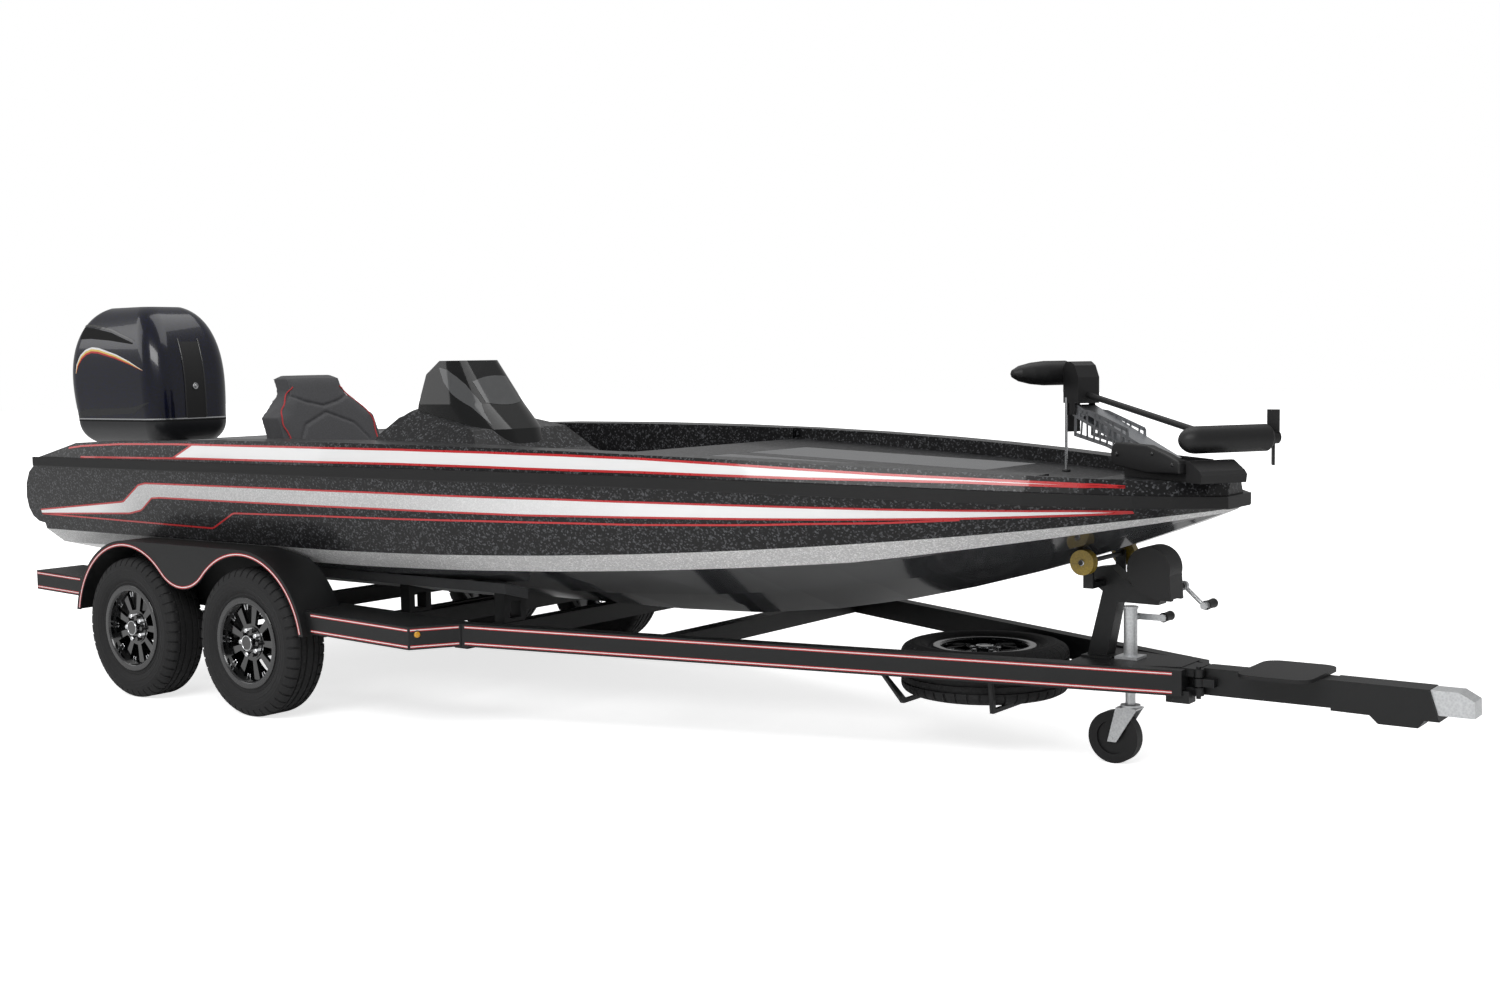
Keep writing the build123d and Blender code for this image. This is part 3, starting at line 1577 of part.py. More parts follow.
motor_x = 132.0
motor_z = 150.0
motor_radius = 50.0
with BuildPart() as troll_motor_form:
    with BuildSketch(Plane.XY.offset(motor_z)):
        with BuildLine():
            Polyline((motor_x, 290), (motor_x - motor_radius + 8, 290), (motor_x - motor_radius, 278))
            Line((motor_x - motor_radius, 278), (motor_x - motor_radius, -20))
            Spline((motor_x - motor_radius, -20), (motor_x - 0.72 * motor_radius, -66), (motor_x, -92))
            Line((motor_x, -92), (motor_x, 290))
        make_face()
    revolve(axis=Axis((motor_x, 0, motor_z), (0, 1, 0)))
    rod((-638, 0, 300), (127, 0, 178.9), 12.5 + seat_gap, mode=Mode.SUBTRACT)
troll_export(troll_motor_form, "troll_motor")

with BuildPart() as troll_prop_form:
    rod((132, 291, 150), (132, 330, 150), 24)
    for turn in (0, 180):
        with Locations(Location((132, 312, 150), (0, turn, 0))):
            with Locations(Location((0, 0, 60), (0, 0, 30))):
                Box(46, 8, 84)
troll_export(troll_prop_form, "troll_prop")
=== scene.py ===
import math

import bmesh
import bpy
from mathutils import Matrix, Vector
from mathutils.bvhtree import BVHTree


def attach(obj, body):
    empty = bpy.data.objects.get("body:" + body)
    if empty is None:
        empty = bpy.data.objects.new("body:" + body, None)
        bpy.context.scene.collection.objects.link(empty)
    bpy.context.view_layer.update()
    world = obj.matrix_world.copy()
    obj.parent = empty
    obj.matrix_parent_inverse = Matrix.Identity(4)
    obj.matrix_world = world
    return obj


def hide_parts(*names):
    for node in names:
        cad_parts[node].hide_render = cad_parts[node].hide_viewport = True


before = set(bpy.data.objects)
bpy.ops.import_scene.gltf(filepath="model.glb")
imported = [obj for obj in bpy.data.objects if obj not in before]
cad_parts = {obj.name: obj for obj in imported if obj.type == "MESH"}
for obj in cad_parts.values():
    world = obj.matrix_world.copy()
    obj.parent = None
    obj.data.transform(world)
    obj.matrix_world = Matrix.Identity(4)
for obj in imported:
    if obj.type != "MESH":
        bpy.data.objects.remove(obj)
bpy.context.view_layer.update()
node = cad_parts
bpy.context.view_layer.update()

# Metres in the frame of the CAD. Stations run ahead of the middle between the axles.
AXLE_MID_X = -1.4474
MM = 0.001


def at(station):
    return AXLE_MID_X + station


def linear(hex_colour):
    """An sRGB hex value as linear RGBA."""
    parts = [int(hex_colour[n : n + 2], 16) / 255 for n in (1, 3, 5)]
    return tuple(c / 12.92 if c <= 0.04045 else ((c + 0.055) / 1.055) ** 2.4 for c in parts) + (1.0,)


def put(tree, kind, inputs=(), **settings):
    """One node with its settings, values and links."""
    new = tree.nodes.new("ShaderNode" + kind)
    for key, value in settings.items():
        setattr(new, key, value)
    for key, value in dict(inputs).items():
        if isinstance(value, bpy.types.NodeSocket):
            tree.links.new(value, new.inputs[key])
        else:
            new.inputs[key].default_value = value
    return new


def finish_of(name, colour, roughness, **sockets):
    """A Principled surface. Other sockets are given by name, such as Coat_Weight."""
    material = bpy.data.materials.new(name)
    material.use_nodes = True
    tree = material.node_tree
    tree.nodes.clear()
    shader = put(tree, "BsdfPrincipled", {"Base Color": linear(colour), "Roughness": roughness})
    for key, value in sockets.items():
        shader.inputs[key.replace("_", " ")].default_value = value
    put(tree, "OutputMaterial", {"Surface": shader.outputs[0]})
    material.diffuse_color = linear(colour)
    return material, tree, shader


def roughen(tree, shader, size_mm, height_mm, low, high, detail=3.0):
    """Fine relief and uneven gloss from one noise whose features are size_mm wide."""
    spot = put(tree, "TexCoord").outputs["Object"]
    grain = put(tree, "TexNoise", {"Vector": spot, "Scale": 1 / (size_mm * MM), "Detail": detail})
    bump = put(tree, "Bump", {"Height": grain.outputs[0], "Distance": height_mm * MM, "Strength": 0.6})
    spread = put(tree, "MapRange", {"Value": grain.outputs[0], 1: 0.3, 2: 0.7, 3: low, 4: high})
    tree.links.new(bump.outputs[0], shader.inputs["Normal"])
    tree.links.new(spread.outputs[0], shader.inputs["Roughness"])
    return grain


def speckle(tree, dark, light, size_mm, share):
    """A dark ground in cells of size_mm, a share of them light, such as metal flakes in a gelcoat."""
    spot = put(tree, "TexCoord").outputs["Object"]
    cells = put(tree, "TexVoronoi", {"Vector": spot, "Scale": 1 / (size_mm * MM)})
    pick = put(tree, "SeparateColor", {0: cells.outputs["Color"]})
    level = put(tree, "MapRange", {"Value": pick.outputs[0], 1: 1 - share, 2: 1.0})
    mixed = put(tree, "Mix", {0: level.outputs[0], 6: linear(dark), 7: linear(light)}, data_type="RGBA")
    return mixed.outputs[2]


# Gelcoat with metal flake: deep gloss, dark, with light points.
# Real flakes are 0.4 mm wide. They are drawn 5 and 6.5 mm wide so that they show.
DARK_FLAKE_MM, LIGHT_FLAKE_MM = 6.5, 5.0
# The chine's edge rises towards the bow, and the silver flat below it gets narrower there
CHINE_AFT, CHINE_BOW, CHINE_Z, CHINE_RISE = at(0.6), at(4.56), 0.762, 0.245
FLAT_AFT, FLAT_BOW, FLAT_WIDE, FLAT_NARROW = at(3.3), at(4.5), 0.075, 0.016
hull_gelcoat, tree, shader = finish_of(
    "flake_gelcoat_charcoal", "#17181A", 0.4, Coat_Weight=0.22, Coat_Roughness=0.1, Specular_IOR_Level=0.3)
where = put(tree, "SeparateXYZ", {0: put(tree, "TexCoord").outputs["Object"]})
charcoal = speckle(tree, "#08080A", "#56575A", DARK_FLAKE_MM, 0.3)
silver = speckle(tree, "#D2D2D2", "#FFFFFF", LIGHT_FLAKE_MM, 0.5)
ahead = put(tree, "MapRange", {0: where.outputs[0], 1: CHINE_AFT, 2: CHINE_BOW, 3: 0.0, 4: 1.0})
bend = put(tree, "Math", {0: ahead.outputs[0], 1: 2.0}, operation="POWER")
chine_z = put(tree, "Math", {0: bend.outputs[0], 1: CHINE_RISE, 2: CHINE_Z}, operation="MULTIPLY_ADD")
under = put(tree, "Math", {0: chine_z.outputs[0], 1: where.outputs[2]}, operation="SUBTRACT")
depth = put(tree, "MapRange", {0: where.outputs[0], 1: FLAT_AFT, 2: FLAT_BOW, 3: FLAT_WIDE, 4: FLAT_NARROW})
below_edge = put(tree, "Math", {0: under.outputs[0], 1: 0.0}, operation="GREATER_THAN")
below_flat = put(tree, "Math", {0: under.outputs[0], 1: depth.outputs[0]}, operation="GREATER_THAN")
side = put(tree, "Mix", {0: below_edge.outputs[0], 6: charcoal, 7: silver}, data_type="RGBA")
whole = put(tree, "Mix", {0: below_flat.outputs[0], 6: side.outputs[2], 7: linear("#3A3B3D")}, data_type="RGBA")
tree.links.new(whole.outputs[2], shader.inputs["Base Color"])
# the bottom is plain gelcoat, smoother and glossier than the flake above it
gloss = put(tree, "MapRange", {0: below_flat.outputs[0], 3: 0.4, 4: 0.1})
shine = put(tree, "MapRange", {0: below_flat.outputs[0], 3: 0.3, 4: 0.8})
tree.links.new(gloss.outputs[0], shader.inputs["Roughness"])
tree.links.new(shine.outputs[0], shader.inputs["Specular IOR Level"])

deck_gelcoat, tree, shader = finish_of(
    "flake_gelcoat_deck", "#151618", 0.4, Coat_Weight=0.22, Coat_Roughness=0.1, Specular_IOR_Level=0.3)
tree.links.new(speckle(tree, "#070709", "#5A5B5E", DARK_FLAKE_MM, 0.26), shader.inputs["Base Color"])

# Cut-pile marine carpet: matt, soft, slightly mottled. Tufts of 2 mm are drawn 4 mm wide.
carpet, tree, shader = finish_of("marine_carpet_grey", "#4A4B4D", 0.95, Sheen_Weight=0.3, Sheen_Roughness=0.6)
pile = roughen(tree, shader, 4.0, 1.5, 0.9, 1.0, 5.0)
tone = put(tree, "Mix", {0: pile.outputs[0], 6: linear("#38393B"), 7: linear("#5C5D5F")}, data_type="RGBA")
tree.links.new(tone.outputs[2], shader.inputs["Base Color"])

# Extruded rubber of the rub rail: black with a low sheen
rail_rubber, tree, shader = finish_of("extruded_rubber_black", "#0E0E0F", 0.5)
roughen(tree, shader, 2.0, 0.1, 0.42, 0.56)

# Moulded tyre rubber: dull, a little greyer than the rest of the black
tyre_rubber, tree, shader = finish_of("moulded_tyre_rubber", "#1B1B1C", 0.72)
roughen(tree, shader, 3.0, 0.25, 0.62, 0.82)

# Powder-coated steel of the trailer: satin with a fine orange peel
satin_steel, tree, shader = finish_of("powder_coated_steel_black", "#121314", 0.48)
roughen(tree, shader, 2.5, 0.12, 0.38, 0.55)

# Enamel of the rims: deep black under a mirror coat
gloss_black, tree, shader = finish_of("gloss_black_enamel", "#08090A", 0.16, Coat_Weight=1.0, Coat_Roughness=0.03)
roughen(tree, shader, 6.0, 0.03, 0.12, 0.2)

# Milled aluminium of spoke tips, caps and hubs: bright, with sharp highlights
milled, tree, shader = finish_of("milled_aluminium", "#D9DADC", 0.22, Metallic=1.0)
roughen(tree, shader, 1.0, 0.02, 0.16, 0.3)

# Galvanised steel of jack and coupler: pale grey with zinc spangles of 9 mm
galvanised, tree, shader = finish_of("galvanised_steel", "#D2D4D6", 0.34, Metallic=0.6)
spot = put(tree, "TexCoord").outputs["Object"]
spangle = put(tree, "TexVoronoi", {"Vector": spot, "Scale": 1 / (9 * MM)})
mottle = put(tree, "Mix", {0: spangle.outputs[0], 6: linear("#C9CBCD"), 7: linear("#E6E8E9")}, data_type="RGBA")
tree.links.new(mottle.outputs[2], shader.inputs["Base Color"])

# Moulded polyurethane of the bow rollers: amber, with darker clouds of 6 mm
amber, tree, shader = finish_of("moulded_polyurethane_amber", "#B98A12", 0.35, Coat_Weight=0.3)
spot = put(tree, "TexCoord").outputs["Object"]
cloud = put(tree, "TexNoise", {"Vector": spot, "Scale": 1 / (6 * MM), "Detail": 4.0})
hue = put(tree, "Mix", {0: cloud.outputs[0], 6: linear("#3E3206"), 7: linear("#BFA02C")}, data_type="RGBA")
tree.links.new(hue.outputs[2], shader.inputs["Base Color"])

# Moulded nylon of bow motor, winch and pads: black, half matt, with a fine grain
black_plastic, tree, shader = finish_of("moulded_nylon_black", "#161617", 0.5)
roughen(tree, shader, 1.5, 0.1, 0.44, 0.58)

# Smoked acrylic of the windscreen: almost black, smooth and only faintly clear
smoked_acrylic, tree, shader = finish_of(
    "smoked_acrylic", "#08090A", 0.12, Coat_Weight=0.3, Coat_Roughness=0.03, Specular_IOR_Level=0.3)
shader.inputs["Alpha"].default_value = 0.96

# Painted engine cowl: near-black blue with pearl under clear coat. Pearl of 0.1 mm is drawn 4 mm wide.
cowl_paint, tree, shader = finish_of(
    "pearl_paint_midnight_blue", "#05071A", 0.22, Coat_Weight=0.55, Coat_Roughness=0.03, Specular_IOR_Level=0.35)
tree.links.new(speckle(tree, "#04050C", "#0C1238", 4.0, 0.5), shader.inputs["Base Color"])

# Moulded pan under the cowl: dark grey, half matt
pan_grey, tree, shader = finish_of("moulded_pan_dark_grey", "#1C1D20", 0.4, Coat_Weight=0.15)
roughen(tree, shader, 3.0, 0.05, 0.32, 0.45)

# Enamel of the engine's leg and brackets: near black and glossy
engine_paint, tree, shader = finish_of("marine_engine_enamel", "#0D0E11", 0.25, Coat_Weight=0.8, Coat_Roughness=0.05)
roughen(tree, shader, 5.0, 0.05, 0.2, 0.3)

# Polished stainless steel of the propeller: bright, with soft reflections
propeller_steel, tree, shader = finish_of("polished_stainless_steel", "#C9CBCD", 0.18, Metallic=1.0)
roughen(tree, shader, 2.0, 0.02, 0.14, 0.24)

# Brushed aluminium of the bow motor's arm: grey and silky
brushed_alloy, tree, shader = finish_of("brushed_aluminium", "#B9BBBE", 0.32, Metallic=1.0)
roughen(tree, shader, 1.0, 0.03, 0.25, 0.4)

# Woven vinyl of the seats: charcoal, with a weave of 3 mm that is drawn 4 mm wide
vinyl, tree, shader = finish_of("woven_marine_vinyl", "#333336", 0.6, Sheen_Weight=0.15)
spot = put(tree, "TexCoord").outputs["Object"]
weave = put(tree, "TexVoronoi", {"Vector": spot, "Scale": 1 / (4 * MM)}, distance="CHEBYCHEV")
fibre = put(tree, "Mix", {0: weave.outputs[0], 6: linear("#2A2A2C"), 7: linear("#4B4B4F")}, data_type="RGBA")
relief = put(tree, "Bump", {"Height": weave.outputs[0], "Distance": 0.8 * MM, "Strength": 0.7})
tree.links.new(fibre.outputs[2], shader.inputs["Base Color"])
tree.links.new(relief.outputs[0], shader.inputs["Normal"])

# Rotomoulded polyethylene of the seat box: dull and slightly uneven
base_plastic, tree, shader = finish_of("rotomoulded_polyethylene", "#2C2D2F", 0.6)
roughen(tree, shader, 3.0, 0.2, 0.5, 0.7)

# Cut vinyl film of bands and lines: clean colour with an even gloss
stripe_red, tree, shader = finish_of("vinyl_stripe_red", "#C4161C", 0.3, Coat_Weight=0.6)
roughen(tree, shader, 20.0, 0.01, 0.26, 0.34)
stripe_gold, tree, shader = finish_of("vinyl_stripe_gold", "#E8C860", 0.3, Coat_Weight=0.5)
roughen(tree, shader, 20.0, 0.01, 0.26, 0.34)
stripe_white, tree, shader = finish_of("vinyl_stripe_white", "#F2F2F2", 0.3, Coat_Weight=0.5)

# Moulded acrylic lens of the step markers: amber and wet-looking
amber_lens, tree, shader = finish_of("amber_lens_acrylic", "#D99A14", 0.2, Coat_Weight=1.0)
roughen(tree, shader, 4.0, 0.2, 0.15, 0.3)

# Vinyl piping of the seats: red, softer in gloss than the lines
piping_red, tree, shader = finish_of("vinyl_piping_red", "#B3262C", 0.5)
roughen(tree, shader, 2.0, 0.1, 0.45, 0.6)

# Tinted acrylic panels of the windscreen: mid grey, smooth
tinted_acrylic, tree, shader = finish_of("tinted_acrylic_grey", "#4B4C4D", 0.15, Coat_Weight=0.3)
roughen(tree, shader, 30.0, 0.02, 0.12, 0.2)

# Unlit inside of the intake and the joint: black without a shine
dark_gap, tree, shader = finish_of("unlit_recess_black", "#050506", 0.9)
roughen(tree, shader, 4.0, 0.1, 0.85, 0.95)

# Moulded rubber of the crank grips: black, matt, with a fine grain
grip_rubber, tree, shader = finish_of("grip_rubber_black", "#151516", 0.55)
roughen(tree, shader, 2.0, 0.3, 0.5, 0.65)

# The band on the topsides is a light flake amidships and turns white towards both ends.
# Its flakes are drawn 4 mm wide so that they show.
hull_band, tree, shader = finish_of("fading_vinyl_band", "#FFFFFF", 0.3, Coat_Weight=0.5)
where = put(tree, "SeparateXYZ", {0: put(tree, "TexCoord").outputs["Object"]})
fore = put(tree, "MapRange", {0: where.outputs[0], 1: at(1.2), 2: at(2.6), 3: 0.0, 4: 1.0})
aft = put(tree, "MapRange", {0: where.outputs[0], 1: at(-0.9), 2: at(-0.5), 3: 1.0, 4: 0.0})
ends = put(tree, "Math", {0: fore.outputs[0], 1: aft.outputs[0]}, operation="MAXIMUM")
flakes = speckle(tree, "#C2C2C2", "#E2E2E2", 4.0, 0.6)
faded = put(tree, "Mix", {0: ends.outputs[0], 6: flakes, 7: linear("#FFFFFF")}, data_type="RGBA")
tree.links.new(faded.outputs[2], shader.inputs["Base Color"])

FINISH = {
    "hull": hull_gelcoat,
    "deck_cap": deck_gelcoat,
    "console": deck_gelcoat,
    "rub_rail": rail_rubber,
    "bunks": carpet,
    "step_pad": black_plastic,
    "windscreen": smoked_acrylic,
    "winch_housing": black_plastic,
    "seat_box": base_plastic,
    "steering_wheel": rail_rubber,
    "jack_wheel": black_plastic,
    "jack_leg": galvanised,
    "jack_tube": galvanised,
    "jack_crank": galvanised,
    "caster_fork": galvanised,
    "coupler_nose": galvanised,
    "winch_crank": galvanised,
    "cowl_upper": cowl_paint,
    "cowl_lower": pan_grey,
    "engine_midsection": engine_paint,
    "swivel_bracket": engine_paint,
    "engine_bracket": engine_paint,
    "engine_block": satin_steel,
    "propeller": propeller_steel,
    "troll_arm": brushed_alloy,
    "troll_shaft": black_plastic,
}
for name, obj in node.items():
    skin = FINISH.get(name)
    if skin is None:
        if name.startswith("tyre") or name == "spare_tyre":
            skin = tyre_rubber
        elif name.startswith("rim") or name == "spare_rim":
            skin = gloss_black
        elif "lid" in name:
            skin = carpet
        elif "roller" in name:
            skin = amber
        elif name.startswith("seat"):
            skin = vinyl
        elif name.startswith("troll"):
            skin = black_plastic
        else:
            skin = satin_steel
    obj.data.materials.clear()
    obj.data.materials.append(skin)


# Pieces: every one is a mesh in the frame and rides a body
BOAT = "boat_and_trailer"
SIDES = {"starboard": -1, "port": 1}
BAND_LIFT, LINE_LIFT = 0.8, 1.3  # millimetres over the surface: lines lie on top of bands
CAST_FROM = 3.0  # metres: rays start this far out, clear of the whole object
JUMP = 0.25  # metres: a film doesn't bridge a step in its surface wider than this


def linked(name, data):
    """An object of this data in the scene."""
    obj = bpy.data.objects.new(name, data)
    bpy.context.scene.collection.objects.link(obj)
    return obj


def built(obj):
    """The mesh of an object as its modifiers or its bevel make it."""
    return bpy.data.meshes.new_from_object(obj.evaluated_get(bpy.context.evaluated_depsgraph_get()))


def face_out(mesh):
    """Turn every face of a mesh outward."""
    shape = bmesh.new()
    shape.from_mesh(mesh)
    bmesh.ops.recalc_face_normals(shape, faces=shape.faces)
    shape.to_mesh(mesh)
    shape.free()


def piece(name, verts, faces, skins, body, slots=None, smooth=True):
    """A mesh that rides a body; without a body it is a pattern that other objects share."""
    mesh = bpy.data.meshes.new(name)
    mesh.from_pydata([tuple(v) for v in verts], [], faces)
    for skin in skins if isinstance(skins, list) else [skins]:
        mesh.materials.append(skin)
    for n, polygon in enumerate(mesh.polygons):
        polygon.use_smooth = smooth
        if slots:
            polygon.material_index = slots[n]
    obj = linked(name, mesh)
    if body:
        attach(obj, body)
    return obj


def surface(obj):
    """The surface of an object in the frame, for laying things on it."""
    spots = [obj.matrix_world @ v.co for v in obj.data.vertices]
    return BVHTree.FromPolygons(spots, [tuple(p.vertices) for p in obj.data.polygons])


def touch(skin_of, start, way):
    """Where a ray meets a surface, and the normal there on the ray's side."""
    hit, normal, _, _ = skin_of.ray_cast(Vector(start), Vector(way))
    if hit is not None and normal.dot(Vector(way)) > 0:
        normal = -normal
    return hit, normal


def laid(name, skins, body, skin_of, strips, ray, lift=BAND_LIFT, rows=3):
    """A thin film on a surface: pairs of points, low and high, cast along ray or a third value of the strip."""
    rows = max(rows, len(skins))
    verts, faces, slots, before = [], [], [], None
    for low, high, *own in strips:
        way = Vector(own[0] if own else ray).normalized()
        row = []
        for k in range(rows + 1):
            hit, normal = touch(skin_of, Vector(low).lerp(Vector(high), k / rows) - way * CAST_FROM, way)
            if hit is None:
                row.append(None)
                continue
            row.append(len(verts))
            verts.append(hit + normal * lift * MM)
        for k in range(rows if before else 0):
            quad = (before[k], row[k], row[k + 1], before[k + 1])
            if None in quad or (verts[quad[0]] - verts[quad[2]]).length > JUMP:
                continue
            across = (verts[quad[1]] - verts[quad[0]]).cross(verts[quad[3]] - verts[quad[0]])
            faces.append(quad if across.dot(way) < 0 else quad[::-1])
            slots.append(k * len(skins) // rows)
        before = row
    piece(name, verts, faces, skins, body, slots)


def height(curve, station):
    """Height in millimetres on a curve of (station, height) pairs."""
    for (s0, z0), (s1, z1) in zip(curve, curve[1:]):
        if station <= s1:
            return z0 + (z1 - z0) * max(0.0, station - s0) / (s1 - s0)
    return curve[-1][1]


def level_strips(low, high, first, last, step=20.0):
    """Strips seen from the side, between two heights in millimetres that depend on the station."""
    count = max(1, round((last - first) / step))
    spots = [first + (last - first) * n / count for n in range(count + 1)]
    return [((at(s * MM), 0, low(s) * MM), (at(s * MM), 0, high(s) * MM)) for s in spots]


def path_strips(points, widths, step=8.0):
    """Strips along a path of (station, height) with a width in millimetres at each point."""
    strips = []
    for (a, wa), (b, wb) in zip(zip(points, widths), zip(points[1:], widths[1:])):
        a2, b2 = Vector(a), Vector(b)
        run = b2 - a2
        across = Vector((-run.y, run.x)).normalized()
        count = max(1, round(run.length / step))
        for n in range(count + (b == points[-1])):
            share = n / count
            mid, wide = a2.lerp(b2, share), (wa + (wb - wa) * share) / 2
            low, high = mid - across * wide, mid + across * wide
            strips.append(((at(low.x * MM), 0, low.y * MM), (at(high.x * MM), 0, high.y * MM)))
    return strips


def arc_strips(mid, z, low, high, first, last, count):
    """Strips across a round line about (mid, z), between two radii and from one angle in degrees to another."""
    turns = [math.radians(first + (last - first) * n / count) for n in range(count + 1)]
    return [
        tuple((at((mid + r * math.cos(turn)) * MM), 0, (z + r * math.sin(turn)) * MM) for r in (low, high))
        for turn in turns
    ]


def tube(name, spots, radius, skin, body):
    """A round bar or bead along points in the frame; sizes in metres."""
    curve = bpy.data.curves.new(name, "CURVE")
    curve.dimensions = "3D"
    curve.bevel_depth = radius
    curve.bevel_resolution = 3
    curve.use_fill_caps = True
    line = curve.splines.new("POLY")
    line.points.add(len(spots) - 1)
    for point, spot in zip(line.points, spots):
        point.co = (*spot, 1.0)
    holder = linked(name + "_path", curve)
    bpy.context.view_layer.update()
    mesh = built(holder)
    bpy.data.objects.remove(holder)
    mesh.materials.clear()
    mesh.materials.append(skin)
    for polygon in mesh.polygons:
        polygon.use_smooth = True
    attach(linked(name, mesh), body)


def turned(profile, segments):
    """Points and faces of a profile of (radius, along Y) in millimetres turned about the Y axis."""
    verts, faces, count = [], [], len(profile)
    for n in range(segments):
        turn = 2 * math.pi * n / segments
        verts.extend((r * MM * math.cos(turn), y * MM, r * MM * math.sin(turn)) for r, y in profile)
        m = (n + 1) % segments
        faces.extend((n * count + k, n * count + k + 1, m * count + k + 1, m * count + k) for k in range(count - 1))
    return verts, faces


reach = {
    name: surface(node[name])
    for name in (
        "hull", "deck_cap", "trailer_frame", "fender_port", "fender_starboard",
        "cowl_upper", "cowl_lower", "windscreen",
    )
}

# Painted bands of the boat: heights in millimetres over the station, from the photograph
HULL_UP = [(-1405, 863), (-645, 931), (-478, 1020), (-419, 1030), (-298, 1031), (310, 1034), (1104, 1035), (1779, 1032),
           (2177, 1032), (2543, 1029), (2881, 1026), (3195, 1022), (3487, 1018), (3763, 1016), (4146, 1014),
           (4305, 1008)]
HULL_LOW = [(-1405, 842), (-617, 874), (-510, 894), (-400, 957), (-331, 962), (280, 963), (1080, 964), (1963, 962),
            (2526, 968), (3025, 973), (3330, 977), (3754, 985), (4140, 998), (4304, 1005)]
HULL_PIN = [(-1405, 842), (23, 827), (207, 907), (812, 918), (1304, 923), (1747, 930), (2150, 935), (2518, 938),
            (3019, 950), (3177, 957), (3472, 965), (3752, 980)]
CAP_UP = [(-1040, 1190), (-926, 1202), (-600, 1216), (-167, 1222), (323, 1222), (601, 1222), (1351, 1220), (1787, 1215),
          (2184, 1208), (2549, 1198), (2887, 1182), (3201, 1164), (3494, 1147), (3768, 1133), (4022, 1118),
          (4150, 1109), (4206, 1106), (4280, 1098)]
CAP_LOW = [(-926, 1148), (-425, 1153), (-34, 1158), (42, 1158), (614, 1160), (1362, 1161), (1798, 1157), (2194, 1151),
           (2558, 1147), (2894, 1139), (3207, 1131), (3498, 1126), (3771, 1119), (3900, 1113), (4150, 1101),
           (4206, 1101), (4280, 1097)]
HULL_PIN_HALF, CAP_PIN_HALF = 4.0, 4.5  # half the height of a pinstripe
HULL_AFT, HULL_FORE, CAP_FORE = -1400, 4300, 4280
# The deck band's aft end slants up and forward, between two corners
SLANT_LOW, SLANT_HIGH = (-167, 1157), (-34, 1222)
SLANT = (SLANT_HIGH[1] - SLANT_LOW[1]) / (SLANT_HIGH[0] - SLANT_LOW[0])


def pin(curve, half):
    return (lambda s: height(curve, s) - half), (lambda s: height(curve, s) + half)


def cap_band_top(s):
    return min(height(CAP_UP, s), SLANT_LOW[1] + (s - SLANT_LOW[0]) * SLANT)


for side, sign in SIDES.items():
    ray = (0, -sign, 0)
    hull, cap = reach["hull"], reach["deck_cap"]
    band = level_strips(lambda s: height(HULL_LOW, s), lambda s: height(HULL_UP, s), HULL_AFT, HULL_FORE)
    laid(f"hull_band_{side}", [hull_band], BOAT, hull, band, ray, rows=5)
    for name, curve, fore in (("up", HULL_UP, HULL_FORE), ("low", HULL_LOW, HULL_FORE), ("free", HULL_PIN, 3750)):
        strips = level_strips(*pin(curve, HULL_PIN_HALF), HULL_AFT, fore)
        laid(f"hull_pin_{name}_{side}", [stripe_red], BOAT, hull, strips, ray, LINE_LIFT)
    band = level_strips(lambda s: height(CAP_LOW, s), cap_band_top, SLANT_LOW[0], 4150, step=16)
    laid(f"deck_band_{side}", [stripe_white], BOAT, cap, band, ray, rows=4)
    strips = path_strips([SLANT_LOW, SLANT_HIGH], [2 * CAP_PIN_HALF] * 2)
    laid(f"deck_pin_slant_{side}", [stripe_red], BOAT, cap, strips, ray, LINE_LIFT)
    for name, curve, aft in (("up", CAP_UP, -1040), ("low", CAP_LOW, -920)):
        strips = level_strips(*pin(curve, CAP_PIN_HALF), aft, CAP_FORE)
        laid(f"deck_pin_{name}_{side}", [stripe_red], BOAT, cap, strips, ray, LINE_LIFT)

# Red, white and red lines along the edges of the trailer's steps and rails, and around the fenders' mouths.
# Sizes in millimetres.
RAIL_HIGH, RAIL_FORE, RAIL_FORE_Z, RAIL_SLOPE = 96.0, 4395, 407.6, 0.0286
LINE_NEAR, LINE_FAR = 8, 19  # a triple line's two edges, measured from the edge of its rail
WHEEL_STATION, WHEEL_OUT, WHEEL_Z = 437.5, 1182.5, 338.0
MOUTH_LINE = (398, 410)  # radii about a wheel
VALLEY_Z, VALLEY_LINE = 790.2, (231, 219)  # the round valley between the two mouths
MARKER_STATION, MARKER_Z = 1507, 458
MARKER = [(0, 7), (6, 6.6), (11, 5), (13, 3), (14, 3.4), (17, 2.6), (18, 0), (0, -1)]
LENS_FACES = 3  # the profile's first faces are the lens, the rest its black base
LINED = {"step_fore": (872, 1590), "step_aft": (-1250, -872)}
triple = [stripe_red, stripe_white, stripe_red]


def rail_top(s):
    return RAIL_FORE_Z + RAIL_SLOPE * (RAIL_FORE - s)


